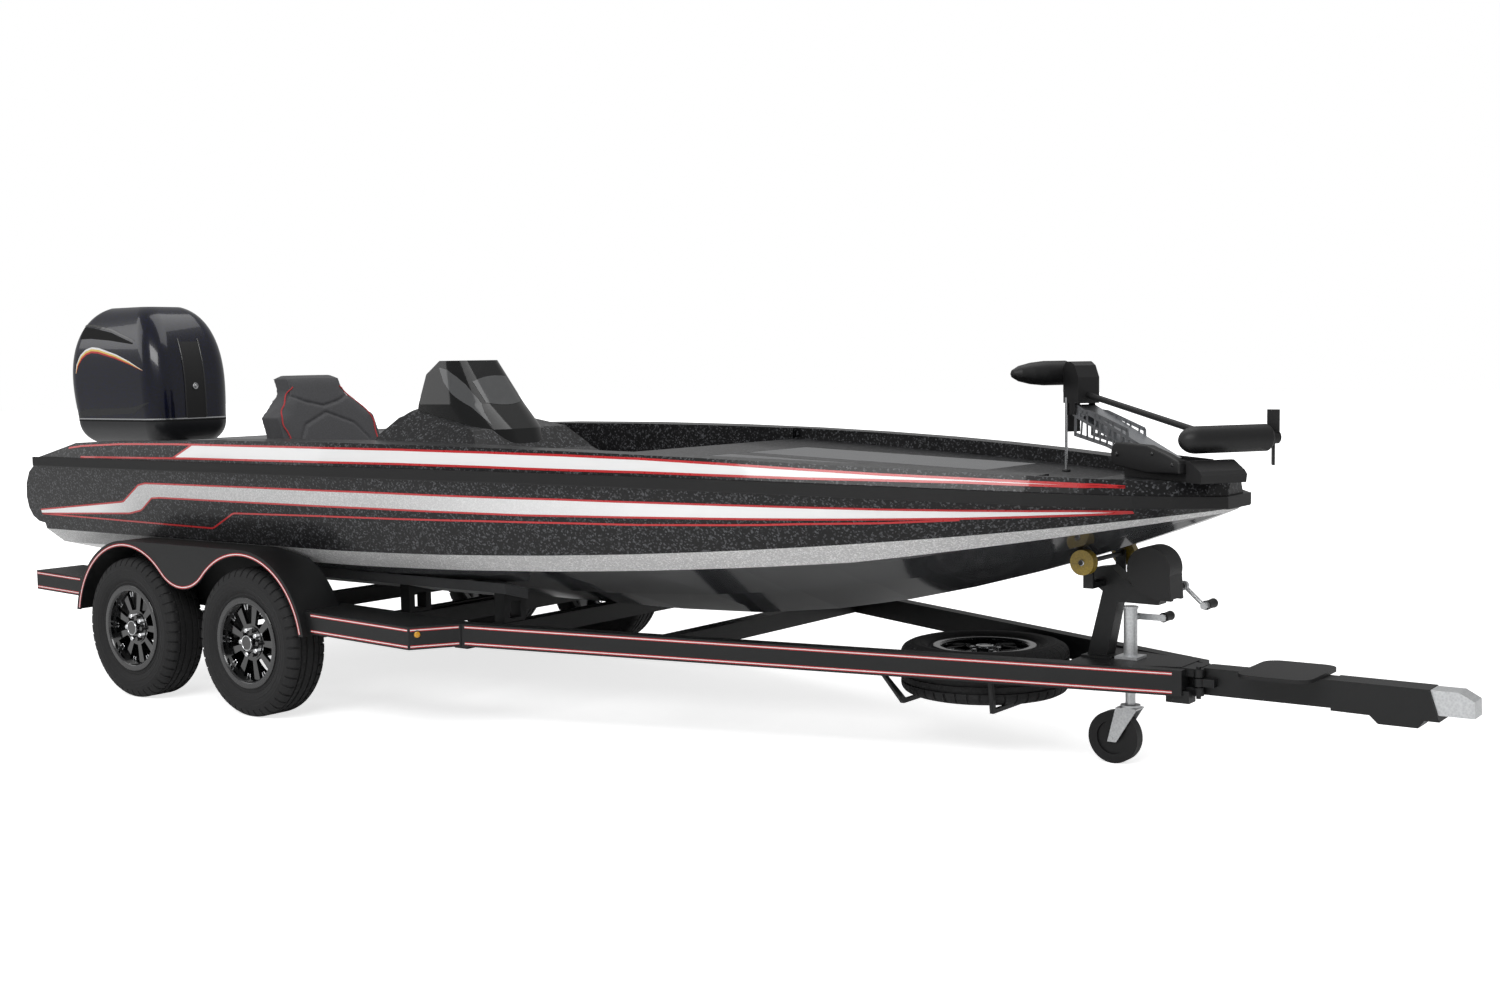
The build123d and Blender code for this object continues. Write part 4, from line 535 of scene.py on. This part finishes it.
for side, sign in SIDES.items():
    ray = (0, -sign, 0)
    fender = reach[f"fender_{side}"]
    for edge, near, far in (("top", -LINE_NEAR, -LINE_FAR), ("foot", LINE_NEAR - RAIL_HIGH, LINE_FAR - RAIL_HIGH)):
        low, high = (lambda s: rail_top(s) + min(near, far)), (lambda s: rail_top(s) + max(near, far))
        for part, (first, last) in LINED.items():
            laid(f"line_{part}_{edge}_{side}", triple, BOAT, fender, level_strips(low, high, first, last, 12), ray)
        rail = level_strips(low, high, 1612, 4362, 25)
        laid(f"line_rail_{edge}_{side}", triple, BOAT, reach["trailer_frame"], rail, ray)
    strips = arc_strips(-WHEEL_STATION, WHEEL_Z, *MOUTH_LINE, 169.5, 46.5, 40)
    strips += arc_strips(0, VALLEY_Z, *VALLEY_LINE, -134, -46, 24)[1:-1]
    strips += arc_strips(WHEEL_STATION, WHEEL_Z, *MOUTH_LINE, 133.5, 10.5, 40)
    laid(f"line_fender_{side}", triple, BOAT, fender, strips, ray)
    # round amber marker on the slant of the step
    hit, normal = touch(fender, (at(MARKER_STATION * MM), sign * CAST_FROM, MARKER_Z * MM), ray)
    verts, faces = turned(MARKER, 32)
    marker = piece(f"side_marker_{side}", verts, faces, [amber_lens, black_plastic], BOAT,
                   [int(n % (len(MARKER) - 1) >= LENS_FACES) for n in range(len(faces))])
    marker.matrix_world = Matrix.Translation(hit) @ normal.to_track_quat("Y", "Z").to_matrix().to_4x4()

# Tyres: sidewall rings, rim protector, shoulder blocks and ribbed tread. Radius and half width in millimetres.
WALL = [(190, 78), (196, 82.5), (207, 83.4), (213, 82.2), (218, 85.6), (223, 85.8), (227, 84.4), (240, 94.5),
        (252, 99.8), (256, 101.4), (259, 100.4), (270, 102.2), (282, 102.4), (286, 103.4), (290, 102.0), (300, 99.6),
        (306, 98.2), (312, 95.2), (320, 91), (326, 87), (331, 81), (335, 74.5), (337.4, 66), (338, 60), (338, 52.5),
        (330.5, 51.5), (330.5, 44.5), (338, 43.5), (338, 24), (330.5, 23), (330.5, 15), (338, 14)]
BLOCKS = 44
PHASES = (0.0, 0.04, 0.17, 0.21, 0.47, 0.73)  # the sections of one block, as shares of its pitch
GAP_STEPS, SLIT_STEP = (1, 2), 4  # the sections in the gap before a block, and the one in a slit of the ribs
BLOCK_R, BLOCK_Y = 303, 52.6  # blocks lie outside this radius and half width
GAP_DEEP, GAP_PINCH, SLIT_DEEP = 6.5, 3.5, 2.5
tread = WALL + [(r, -w) for r, w in reversed(WALL)]
verts, faces = [], []
for block in range(BLOCKS):
    for step, phase in enumerate(PHASES):
        turn = 2 * math.pi * (block + phase) / BLOCKS
        for r, y in tread:
            wide = abs(y)
            if step in GAP_STEPS and r > BLOCK_R and wide > BLOCK_Y:
                r -= GAP_DEEP * min(1, (r - 300) / 30)
                y -= math.copysign(GAP_PINCH * max(0, min(1, (wide - 78) / 12)), y)
            if step == SLIT_STEP and 14.5 < wide < 52 and r > 335:
                r -= SLIT_DEEP
            verts.append((r * MM * math.cos(turn), y * MM, r * MM * math.sin(turn)))
count, rings = len(tread), BLOCKS * len(PHASES)
for n in range(rings):
    m = (n + 1) % rings
    faces.extend((n * count + k, m * count + k, m * count + k + 1, n * count + k + 1) for k in range(count - 1))
tyre_mesh = piece("tyre_pattern", verts, faces, tyre_rubber, None, smooth=False)
face_out(tyre_mesh.data)
SPARE_STATION, SPARE_Z = 3505, 322
wheel_spots = {}
for side, sign in SIDES.items():
    for axle, station in (("front", WHEEL_STATION), ("rear", -WHEEL_STATION)):
        hub = Matrix.Translation((at(station * MM), sign * WHEEL_OUT * MM, WHEEL_Z * MM))
        wheel_spots[f"{side}_{axle}"] = hub @ Matrix.Rotation(math.pi if sign > 0 else 0.0, 4, "Z")
hub = Matrix.Translation((at(SPARE_STATION * MM), 0, SPARE_Z * MM))
wheel_spots["spare"] = hub @ Matrix.Rotation(-math.pi / 2, 4, "X")

# Bright parts of the wheels: milled spoke tips, cap ring and lug nuts. The outer side looks along -Y here.
SPOKES, LUGS, LUG_CIRCLE, LUG_RADIUS = 9, 5, 57, 11.5
SPOKE_TIP = [(148, 3.5), (148, 9.5), (176, 15), (176, 8)]  # (radius, distance from the spoke's middle)
CAP_RING = [(31, -82), (31, -85.2), (32.2, -86.4), (34.4, -86.4), (35.4, -85), (35.4, -78)]
RIM_LIP = [(177, -82), (180.5, -87), (183.5, -89.3), (188, -89.8), (197, -89.6), (205, -89.4), (207.4, -87)]
verts, faces, slots = [], [], []


def add_prism(ring, low, high, draw):
    """A short prism with a bevelled top over a ring of (x, z) points, from y = low out to high."""
    base, n = len(verts), len(ring)
    cx, cz = sum(p[0] for p in ring) / n, sum(p[1] for p in ring) / n
    for y, pull in ((low, 0.0), (high + draw, 0.0), (high, draw)):
        for x, z in ring:
            far = math.hypot(x - cx, z - cz)
            verts.append(((x - (x - cx) / far * pull) * MM, y * MM, (z - (z - cz) / far * pull) * MM))
    for start in (base, base + n):
        faces.extend((start + k, start + (k + 1) % n, start + n + (k + 1) % n, start + n + k) for k in range(n))
    faces.append(tuple(base + 2 * n + k for k in range(n)))
    slots.extend([0] * (2 * n + 1))


def add_turned(profile, segments, slot):
    """A turned ring with the material in this slot."""
    base = len(verts)
    ring_verts, ring_faces = turned(profile, segments)
    verts.extend(ring_verts)
    faces.extend(tuple(base + i for i in face) for face in ring_faces)
    slots.extend([slot] * len(ring_faces))


for k in range(SPOKES):
    mid = math.radians(20 + 360 / SPOKES * k)
    for lean in (-1, 1):
        ring = [(r * math.cos(mid) - lean * off * math.sin(mid), r * math.sin(mid) + lean * off * math.cos(mid))
                for r, off in SPOKE_TIP]
        add_prism(ring, low=-54, high=-58.2, draw=1.0)
for n in range(LUGS):
    turn = math.radians(360 / LUGS * (n + 0.5))
    ring = [(LUG_CIRCLE * math.cos(turn) + LUG_RADIUS * math.cos(math.radians(60 * k)),
             LUG_CIRCLE * math.sin(turn) + LUG_RADIUS * math.sin(math.radians(60 * k))) for k in range(6)]
    add_prism(ring, low=-60, high=-77, draw=1.6)
add_turned(CAP_RING, segments=48, slot=0)
add_turned(RIM_LIP, segments=96, slot=1)
trim_mesh = piece("wheel_trim_pattern", verts, faces, [milled, engine_paint], None, slots, smooth=False)
face_out(trim_mesh.data)
for name, spot in wheel_spots.items():
    body = BOAT if name == "spare" else f"wheel_{name}"
    for pattern, kind in ((tyre_mesh, "tyre_tread"), (trim_mesh, "wheel_trim")):
        obj = linked(f"{kind}_{name}", pattern.data)
        obj.matrix_world = spot
        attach(obj, body)
        if kind == "tyre_tread":
            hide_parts("spare_tyre" if name == "spare" else f"tyre_{name}")
for pattern in (tyre_mesh, trim_mesh):
    bpy.data.objects.remove(pattern)

# Seats: each cushion and back swells from its CAD solid, then gets its sewn channels. Sizes in metres.
SEAT_MESH, SEAT_INSET = 0.0085, 0.005  # the cover's mesh, and how far it starts inside the solid
PRESSURE, SWELL_FRAMES = 4.0, 20
EVEN_ROUNDS, EVEN_OWN, EVEN_NEAR = 14, 0.4, 0.6  # shares of a point's own move and of its neighbours'
CHANNEL_WIDE, CHANNEL_DEEP = 0.014, 0.009
BEAD_RADIUS, BEAD_OUT = 0.0035, 0.0015


def stuffed(name, source, body, cap, channels, axis, floor_z):
    """A padded cover that swells from a CAD solid by cap at most, with channels sewn into the side along axis."""
    cad = node[source]
    pad = linked(name, cad.data.copy())
    pad.matrix_world = cad.matrix_world
    mesh_again = pad.modifiers.new("even", "REMESH")
    mesh_again.mode = "VOXEL"
    mesh_again.voxel_size = SEAT_MESH
    bpy.context.view_layer.update()
    even = built(pad)
    pad.modifiers.clear()
    pad.data = even
    normals = [v.normal.copy() for v in even.vertices]
    for vertex, normal in zip(even.vertices, normals):
        vertex.co -= normal * SEAT_INSET
    start = [v.co.copy() for v in even.vertices]
    cloth = pad.modifiers.new("swell", "CLOTH")
    cloth.settings.use_pressure = True
    cloth.settings.uniform_pressure_force = PRESSURE
    cloth.settings.effector_weights.gravity = 0.0
    cloth.settings.quality = 4
    for now in range(1, SWELL_FRAMES + 1):
        bpy.context.scene.frame_set(now)
    grown = built(pad)
    pad.modifiers.clear()
    moves = []
    for old, new in zip(start, grown.vertices):
        move = new.co - old
        moves.append(move * min(1.0, cap / max(move.length, 1e-9)))
    # the swelling is evened out over the cover, so that no crease of the simulation stays
    beside = [[] for _ in moves]
    for edge in even.edges:
        a, b = edge.vertices
        beside[a].append(b)
        beside[b].append(a)
    for _ in range(EVEN_ROUNDS):
        moves = [
            EVEN_OWN * move + EVEN_NEAR / len(near) * sum((moves[k] for k in near), Vector()) if near else move
            for move, near in zip(moves, beside)
        ]
    for vertex, old, move in zip(even.vertices, start, moves):
        vertex.co = old + move
    bpy.data.meshes.remove(grown)
    bpy.context.scene.frame_set(1)
    even.update()
    flat = [k for k in range(3) if k != axis]
    for path in channels:
        segments = [(Vector(a), Vector(b)) for a, b in zip(path, path[1:])]
        for vertex in even.vertices:
            if vertex.normal[axis] < 0.35:
                continue
            spot = Vector([vertex.co[k] for k in flat])
            near = 1.0
            for a, b in segments:
                run = b - a
                share = max(0.0, min(1.0, (spot - a).dot(run) / run.length_squared))
                near = min(near, (spot - a - run * share).length)
            if near < CHANNEL_WIDE:
                vertex.co[axis] -= CHANNEL_DEEP * (1 - near / CHANNEL_WIDE) ** 2
    for vertex in even.vertices:
        vertex.co.z = max(vertex.co.z, floor_z)
    even.materials.clear()
    even.materials.append(vinyl)
    for polygon in even.polygons:
        polygon.use_smooth = True
        polygon.material_index = 0
    finer = pad.modifiers.new("finer", "SUBSURF")
    finer.levels = finer.render_levels = 1
    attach(pad, body)
    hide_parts(source)
    return pad


def evened(spots, times=6):
    """The same path without kinks: its ends stay."""
    for _ in range(times):
        inner = [(a + b * 2 + c) / 4 for a, b, c in zip(spots, spots[1:], spots[2:])]
        spots = spots[:1] + inner + spots[-1:]
    return spots


def beaded(name, cover, starts, way):
    """A bead of piping along the spots where rays meet a cover."""
    spots = []
    for start in starts:
        hit, normal = touch(cover, start, way)
        if hit is not None:
            spots.append(hit + normal * BEAD_OUT)
    tube(name, evened(spots), BEAD_RADIUS, piping_red, BOAT)


SEAT_MID, SEAT_FORE, SEAT_AFT, SEAT_HALF = 0.505, 0.62, 0.25, 0.17
BACK_SWELL, CUSHION_SWELL, BACK_FOOT_Z, CUSHION_FOOT_Z = 0.012, 0.014, 1.0353, 0.9303
# The seams of a back and its piping, as (distance from the seat's middle, height)
UPPER_V = [(-0.185, 1.44), (-0.10, 1.405), (0, 1.384), (0.10, 1.405), (0.185, 1.44)]
LOWER_V = [(-0.235, 1.08), (-0.21, 1.22), (-0.15, 1.295), (0, 1.352), (0.15, 1.295), (0.21, 1.22), (0.235, 1.08)]
BACK_PIPE = [(-0.145, 1.478), (-0.158, 1.466), (-0.168, 1.452), (-0.186, 1.430), (-0.205, 1.412), (-0.262, 1.362),
             (-0.285, 1.300), (-0.268, 1.258), (-0.262, 1.160), (-0.266, 1.06)]
CUSHION_PIPE_AFT, CUSHION_PIPE_STEP, CUSHION_PIPE_OUT = 0.235, 0.0104, 0.275
for side, sign in SIDES.items():
    mid = sign * SEAT_MID
    seams = [[(mid + y, z) for y, z in seam] for seam in (UPPER_V, LOWER_V)]
    back = stuffed(f"seat_back_pad_{side}", f"seat_back_{side}", BOAT, BACK_SWELL, seams, 0, BACK_FOOT_Z)
    aft, fore, low, high = at(SEAT_AFT), at(SEAT_FORE), mid - SEAT_HALF, mid + SEAT_HALF
    seams = [[(aft, low), (fore, low)], [(aft, high), (fore, high)], [(aft, low), (aft, high)]]
    seat = stuffed(f"seat_cushion_pad_{side}", f"seat_cushion_{side}", BOAT, CUSHION_SWELL, seams, 2, CUSHION_FOOT_Z)
    back_cover, seat_cover = surface(back), surface(seat)
    for lean in (-1, 1):
        end = "out" if lean == sign else "in"
        starts = []
        for (y0, z0), (y1, z1) in zip(BACK_PIPE, BACK_PIPE[1:]):
            for n in range(8):
                starts.append((at(1.5), mid - lean * (y0 + (y1 - y0) * n / 8), z0 + (z1 - z0) * n / 8))
        beaded(f"seat_piping_{side}_{end}", back_cover, starts, (-1, 0, 0))
        starts = [(at(CUSHION_PIPE_AFT + CUSHION_PIPE_STEP * n), mid + lean * CUSHION_PIPE_OUT, 1.5) for n in range(40)]
        beaded(f"cushion_piping_{side}_{end}", seat_cover, starts, (0, 0, -1))

# Engine cowl: curved stripe, intake, front panel with its latch, and the bright line over the pan.
# Paths are (station, height) in millimetres, each with its width at every point.
STRIPE = [(-2380, 1560), (-2366, 1608), (-2330, 1655), (-2285, 1682), (-2230, 1695), (-2160, 1690), (-1990, 1655),
          (-1860, 1618), (-1728, 1572)]
STRIPE_WIDE = [6, 18, 30, 34, 34, 32, 26, 18, 3]
INTAKE, INTAKE_WIDE = [(-2360, 1795), (-2250, 1792), (-2060, 1770), (-1830, 1725)], [70, 62, 46, 8]
LIP, LIP_WIDE = [(-2380, 1838), (-2250, 1836), (-2050, 1806), (-1820, 1742)], [12, 12, 10, 4]
CREASE, CREASE_WIDE = [(-2440, 1300), (-2300, 1330), (-1830, 1345), (-1690, 1390)], [26, 40, 34, 4]
COWL_MID = at(-2.04)
PANEL_Z, PANEL_STEP, PANEL_HALF, RIDGE_Z, RIDGE_OUT = 1.296, 0.0118, 0.062, 1.29, 0.066
LATCH_Z = 1.478
LATCH = [(0, 9), (8, 8.6), (10, 6.5), (12, 6.5), (16, 9.5), (18, 8.5), (19, 0), (0, -2)]
cowl = reach["cowl_upper"]
for side, sign in SIDES.items():
    for name, skins, path, widths, lift, rows in (
        ("stripe", [stripe_red, stripe_gold, stripe_white], STRIPE, STRIPE_WIDE, BAND_LIFT, 6),
        ("intake", [dark_gap], INTAKE, INTAKE_WIDE, 0.7, 6),
        ("intake_lip", [engine_paint], LIP, LIP_WIDE, 3.0, 3),
        ("crease", [pan_grey], CREASE, CREASE_WIDE, 0.7, 4),
    ):
        laid(f"cowl_{name}_{side}", skins, "engine", cowl, path_strips(path, widths), (0, -sign, 0), lift, rows)
aftward = (-1, 0, 0)
levels = [PANEL_Z + PANEL_STEP * n for n in range(38)]
strips = [((0, -PANEL_HALF, z), (0, PANEL_HALF, z)) for z in levels]
laid("cowl_front_panel", [black_plastic], "engine", cowl, strips, aftward, lift=2.5, rows=8)
for edge, sign in SIDES.items():
    spots = []
    for n in range(40):
        hit, _ = touch(cowl, (at(0), sign * RIDGE_OUT, RIDGE_Z + PANEL_STEP * n), aftward)
        if hit is not None:
            spots.append(hit + Vector((1.5 * MM, 0, 0)))
    tube(f"cowl_ridge_{edge}", spots, 5 * MM, engine_paint, "engine")
hit, _ = touch(cowl, (at(0), 0, LATCH_Z), aftward)
verts, faces = turned(LATCH, 32)
latch = piece("cowl_latch", verts, faces, milled, "engine")
latch.matrix_world = Matrix.Translation(hit) @ Matrix.Rotation(-math.pi / 2, 4, "Z")
for name, shell, z, wide, skin in (("cowl_bright_line", "cowl_upper", 1.2945, 0.007, milled),
                                   ("cowl_joint", "cowl_lower", 1.2845, 0.008, dark_gap)):
    low, high = (COWL_MID, 0, z - wide / 2), (COWL_MID, 0, z + wide / 2)
    turns = [2 * math.pi * n / 120 for n in range(121)]
    strips = [(low, high, (-math.cos(turn), -math.sin(turn), 0)) for turn in turns]
    laid(name, [skin], "engine", reach[shell], strips, None, lift=1.5, rows=2)

# Windscreen: the lighter side panel and front panel, held by dark frames. Each pair is the panel's edge, low and high.
screen = reach["windscreen"]
SIDE_PANEL = [((1206, 1494), (1150, 1562)), ((1272, 1445), (1205, 1552)), ((1330, 1412), (1262, 1520)),
              ((1380, 1385), (1308, 1486)), ((1440, 1343), (1370, 1425)), ((1501, 1300), (1440, 1352))]
strips = []
for (low0, high0), (low1, high1) in zip(SIDE_PANEL, SIDE_PANEL[1:]):
    for n in range(6):
        low = [low0[k] + (low1[k] - low0[k]) * n / 6 for k in (0, 1)]
        high = [high0[k] + (high1[k] - high0[k]) * n / 6 for k in (0, 1)]
        strips.append(((at(low[0] * MM), 0, low[1] * MM), (at(high[0] * MM), 0, high[1] * MM)))
laid("windscreen_side_panel", [tinted_acrylic], BOAT, screen, strips, (0, 1, 0), lift=1.0, rows=8)
# the front panel bows out at its foot and head, and its head rises towards the middle of the boat
PANEL_OUT, PANEL_WIDE, PANEL_FOOT, PANEL_HEAD, PANEL_BOW, PANEL_RISE = -0.672, 0.224, 1.405, 1.498, 0.012, 0.02
strips = []
for n in range(25):
    share = n / 24
    y = PANEL_OUT + PANEL_WIDE * share
    bow = PANEL_BOW * (1 - (2 * share - 1) ** 2)
    strips.append(((0, y, PANEL_FOOT - bow), (0, y, PANEL_HEAD + PANEL_RISE * share + bow)))
laid("windscreen_front_panel", [tinted_acrylic], BOAT, screen, strips, aftward, lift=1.0, rows=8)

# Bow motor: pierced side plates of its arm, a side pod with screws, and a stay that stands on the deck.
# Sizes in millimetres in the motor's own frame.
MOTOR_STATION, MOTOR_OFF, MOTOR_Z, MOTOR_TURN = 4.36, -0.075, 1.1083, -34
motor_turn = Matrix.Rotation(math.radians(MOTOR_TURN), 4, "Z")
motor_frame = Matrix.Translation((at(MOTOR_STATION), MOTOR_OFF, MOTOR_Z)) @ motor_turn


def on_motor(x, y, z):
    return motor_frame @ Vector((x * MM, y * MM, z * MM))


TOP_EDGE = [(-688, 249), (-556, 241), (-290, 180)]
LOW_EDGE = [(-688, 136), (-444, 102), (-290, 68)]
EDGE_DEEP, WEBS, WEB_STEP, WEB_WIDE, END_WIDE, PLATE_THICK = 16, 9, 48.5, 11, 18, 3
for face, y in (("near", -39), ("far", 39)):
    quads = []
    for line, deep in ((TOP_EDGE, -EDGE_DEEP), (LOW_EDGE, EDGE_DEEP)):
        for (x0, z0), (x1, z1) in zip(line, line[1:]):
            quads.append(((x0, z0), (x1, z1), (x1, z1 + deep), (x0, z0 + deep)))
    for n in range(WEBS):
        wide = END_WIDE if n in (0, WEBS - 1) else WEB_WIDE
        foot_x = LOW_EDGE[0][0] + n * WEB_STEP
        # the webs lean to and fro, so that no two windows between them are alike
        head_x = foot_x + (14 if n % 2 else -2) + (6 if n == 0 else 0)
        quads.append(((foot_x, height(LOW_EDGE, foot_x) + 6), (foot_x + wide, height(LOW_EDGE, foot_x + wide) + 6),
                      (head_x + wide, height(TOP_EDGE, head_x + wide) - 6), (head_x, height(TOP_EDGE, head_x) - 6)))
    verts = [on_motor(x, y, z) for corners in quads for x, z in corners]
    faces = [tuple(range(4 * n, 4 * n + 4)) for n in range(len(quads))]
    plate = piece(f"arm_plate_{face}", verts, faces, brushed_alloy, "bow_motor_arm", smooth=False)
    thick = plate.modifiers.new("thickness", "SOLIDIFY")
    thick.thickness = PLATE_THICK * MM
    thick.offset = 0

POD_OUTER, POD_INNER, POD_EDGE = -104, -66, 8
POD_END_X, POD_END_Z, POD_END_R = -262, 84, 46
outline = [(POD_END_X - POD_END_R * math.cos(math.radians(t)), POD_END_Z + POD_END_R * math.sin(math.radians(t)))
           for t in range(-80, 81, 20)]
outline += [(-60, 126), (60, 100), (150, 74), (150, 30), (-60, 22)]
n = len(outline)
verts = [on_motor(x, y, z) for y in (POD_OUTER, POD_INNER) for x, z in outline]
faces = [tuple(range(n)), tuple(range(n, 2 * n))] + [(k, (k + 1) % n, (k + 1) % n + n, k + n) for k in range(n)]
pod = piece("bow_motor_side_pod", verts, faces, black_plastic, BOAT)
face_out(pod.data)
soft = pod.modifiers.new("soft_edges", "BEVEL")
soft.width = POD_EDGE * MM
soft.segments = 3
soft.limit_method = "ANGLE"
for name, x, z, r in (("fore", 110, 62, 7), ("mid", -20, 96, 7), ("aft", POD_END_X, POD_END_Z, 9)):
    verts, faces = turned([(0, -4), (r - 2, -4), (r, -2.5), (r, 2)], 20)
    screw = piece(f"pod_screw_{name}", verts, faces, engine_paint, BOAT)
    screw.matrix_world = Matrix.Translation(on_motor(x, POD_OUTER, z)) @ motor_turn
stay = Vector((at(3.742), 0.258, 0))
STAY_Z, STAY_RADIUS, FOOT_Z = (1.0995, 1.25, 1.40), 6 * MM, 1.1015
tube("bow_motor_stay", [stay + Vector((0, 0, z)) for z in STAY_Z], STAY_RADIUS, milled, BOAT)
verts, faces = turned([(0, 8), (15, 8), (17, 6), (17, -3), (0, -3)], 24)
foot = piece("bow_motor_stay_foot", verts, faces, black_plastic, BOAT)
foot.matrix_world = Matrix.Translation(stay + Vector((0, 0, FOOT_Z))) @ Matrix.Rotation(math.pi / 2, 4, "X")

# Grips of the two cranks, and the bright hubs of the bow rollers
GRIP = [(0, -33), (11, -33), (15, -31), (16.5, -28), (15.5, -20), (15, 0), (15.5, 20), (16.5, 28), (15, 31), (11, 33),
        (0, 33)]
GRIP_FATTER = 1.15
HUB = [(0, -27.5), (9, -27.5), (11, -26.5), (12.5, -24), (12.5, -15)]
HUB_STATION, HUB_OFF, HUB_Z = 4.03, 0.185, 0.7935
verts, faces = turned(GRIP, 28)
for name, spot, longer, body in (("winch_grip", (at(4.352), 0.246, 0.604), 1.38, "winch_handle"),
                                 ("jack_grip", (at(4.233), 0.114, 0.564), 1.22, "jack_handle")):
    grip = piece(name, [(x * GRIP_FATTER, y * longer, z * GRIP_FATTER) for x, y, z in verts], faces, grip_rubber, body)
    grip.matrix_world = Matrix.Translation(spot)
verts, faces = turned(HUB, 28)
for side, sign in SIDES.items():
    hub = piece(f"roller_hub_{side}", verts, faces, milled, f"roller_{side}")
    spot = Matrix.Translation((at(HUB_STATION), sign * HUB_OFF, HUB_Z))
    hub.matrix_world = spot @ Matrix.Rotation(0 if sign < 0 else math.pi, 4, "Z")

# Camera of the photograph
EYE = Vector((5.3956, -6.095, 1.572))
RIGHT = Vector((0.8049, 0.5932, -0.0170))
AHEAD = Vector((-0.5925, 0.8016, -0.0810))
UP = Vector((-0.0344, 0.0753, 0.9966))
lens = bpy.data.cameras.new("photo_lens")
lens.lens = 41.31
lens.sensor_width = 36.0
lens.clip_end = 100.0
camera = linked("photo_camera", lens)
camera.matrix_world = Matrix.Translation(EYE) @ Matrix((RIGHT, UP, -AHEAD)).transposed().to_4x4()
bpy.context.scene.camera = camera

# Pale floor: it takes the shadow, and the lens sees it grow lighter away from the trailer
FLOOR_HALF = 60
GLOW_NEAR, GLOW_FAR, GLOW_LOW, GLOW_HIGH = 5.2, 8.5, 0.74, 1.2
corners = [(x * FLOOR_HALF, y * FLOOR_HALF, 0) for x, y in ((-1, -1), (1, -1), (1, 1), (-1, 1))]
floor_mesh = bpy.data.meshes.new("floor")
floor_mesh.from_pydata(corners, [], [(0, 1, 2, 3)])
floor = linked("floor", floor_mesh)
pale, tree, shader = finish_of("pale_floor", "#FFFFFF", 0.95)
shader.inputs["Specular IOR Level"].default_value = 0.0
ray = put(tree, "LightPath")
away = put(tree, "VectorMath", {0: put(tree, "TexCoord").outputs["Object"]}, operation="LENGTH")
level = put(tree, "MapRange", {0: away.outputs["Value"], 1: GLOW_NEAR, 2: GLOW_FAR, 3: GLOW_LOW, 4: GLOW_HIGH})
seen = put(tree, "Math", {0: ray.outputs["Is Camera Ray"], 1: level.outputs[0]}, operation="MULTIPLY")
glow = put(tree, "Emission", {"Color": (1, 1, 1, 1), "Strength": seen.outputs[0]})
both = put(tree, "AddShader", {0: shader.outputs[0], 1: glow.outputs[0]})
tree.links.new(both.outputs[0], tree.nodes["Material Output"].inputs[0])
floor_mesh.materials.append(pale)

# World: white to the lens, softer as light
WORLD_LIGHT = 0.36
world = bpy.data.worlds.new("studio")
bpy.context.scene.world = world
world.use_nodes = True
tree = world.node_tree
tree.nodes.clear()
ray = put(tree, "LightPath")
seen = put(tree, "Math", {0: ray.outputs["Is Camera Ray"], 1: ray.outputs["Is Transmission Ray"]}, operation="MAXIMUM")
soft = put(tree, "Background", {0: (1, 1, 1, 1), 1: WORLD_LIGHT})
plain = put(tree, "Background", {0: (1, 1, 1, 1), 1: 1.0})
mixed = put(tree, "MixShader", {0: seen.outputs[0], 1: soft.outputs[0], 2: plain.outputs[0]})
put(tree, "OutputWorld", {0: mixed.outputs[0]})


def softbox(name, spot, aim, size, watts):
    """A rectangular lamp at spot that looks at aim."""
    light = bpy.data.lights.new(name, "AREA")
    light.shape = "RECTANGLE"
    light.size, light.size_y = size
    light.energy = watts
    obj = linked(name, light)
    obj.location = spot
    obj.rotation_euler = (Vector(aim) - Vector(spot)).to_track_quat("-Z", "Y").to_euler()


softbox("key_softbox", (3.0, -7.5, 6.5), aim=(0, 0, 0.8), size=(7.0, 3.0), watts=400)
softbox("rear_softbox", (-7.0, -4.0, 4.5), aim=(-1.0, 0, 0.9), size=(4.0, 4.0), watts=70)
softbox("top_softbox", (0.0, 2.0, 8.0), aim=(0, 0, 1.0), size=(9.0, 5.0), watts=230)
bpy.context.scene.view_settings.view_transform = "Standard"
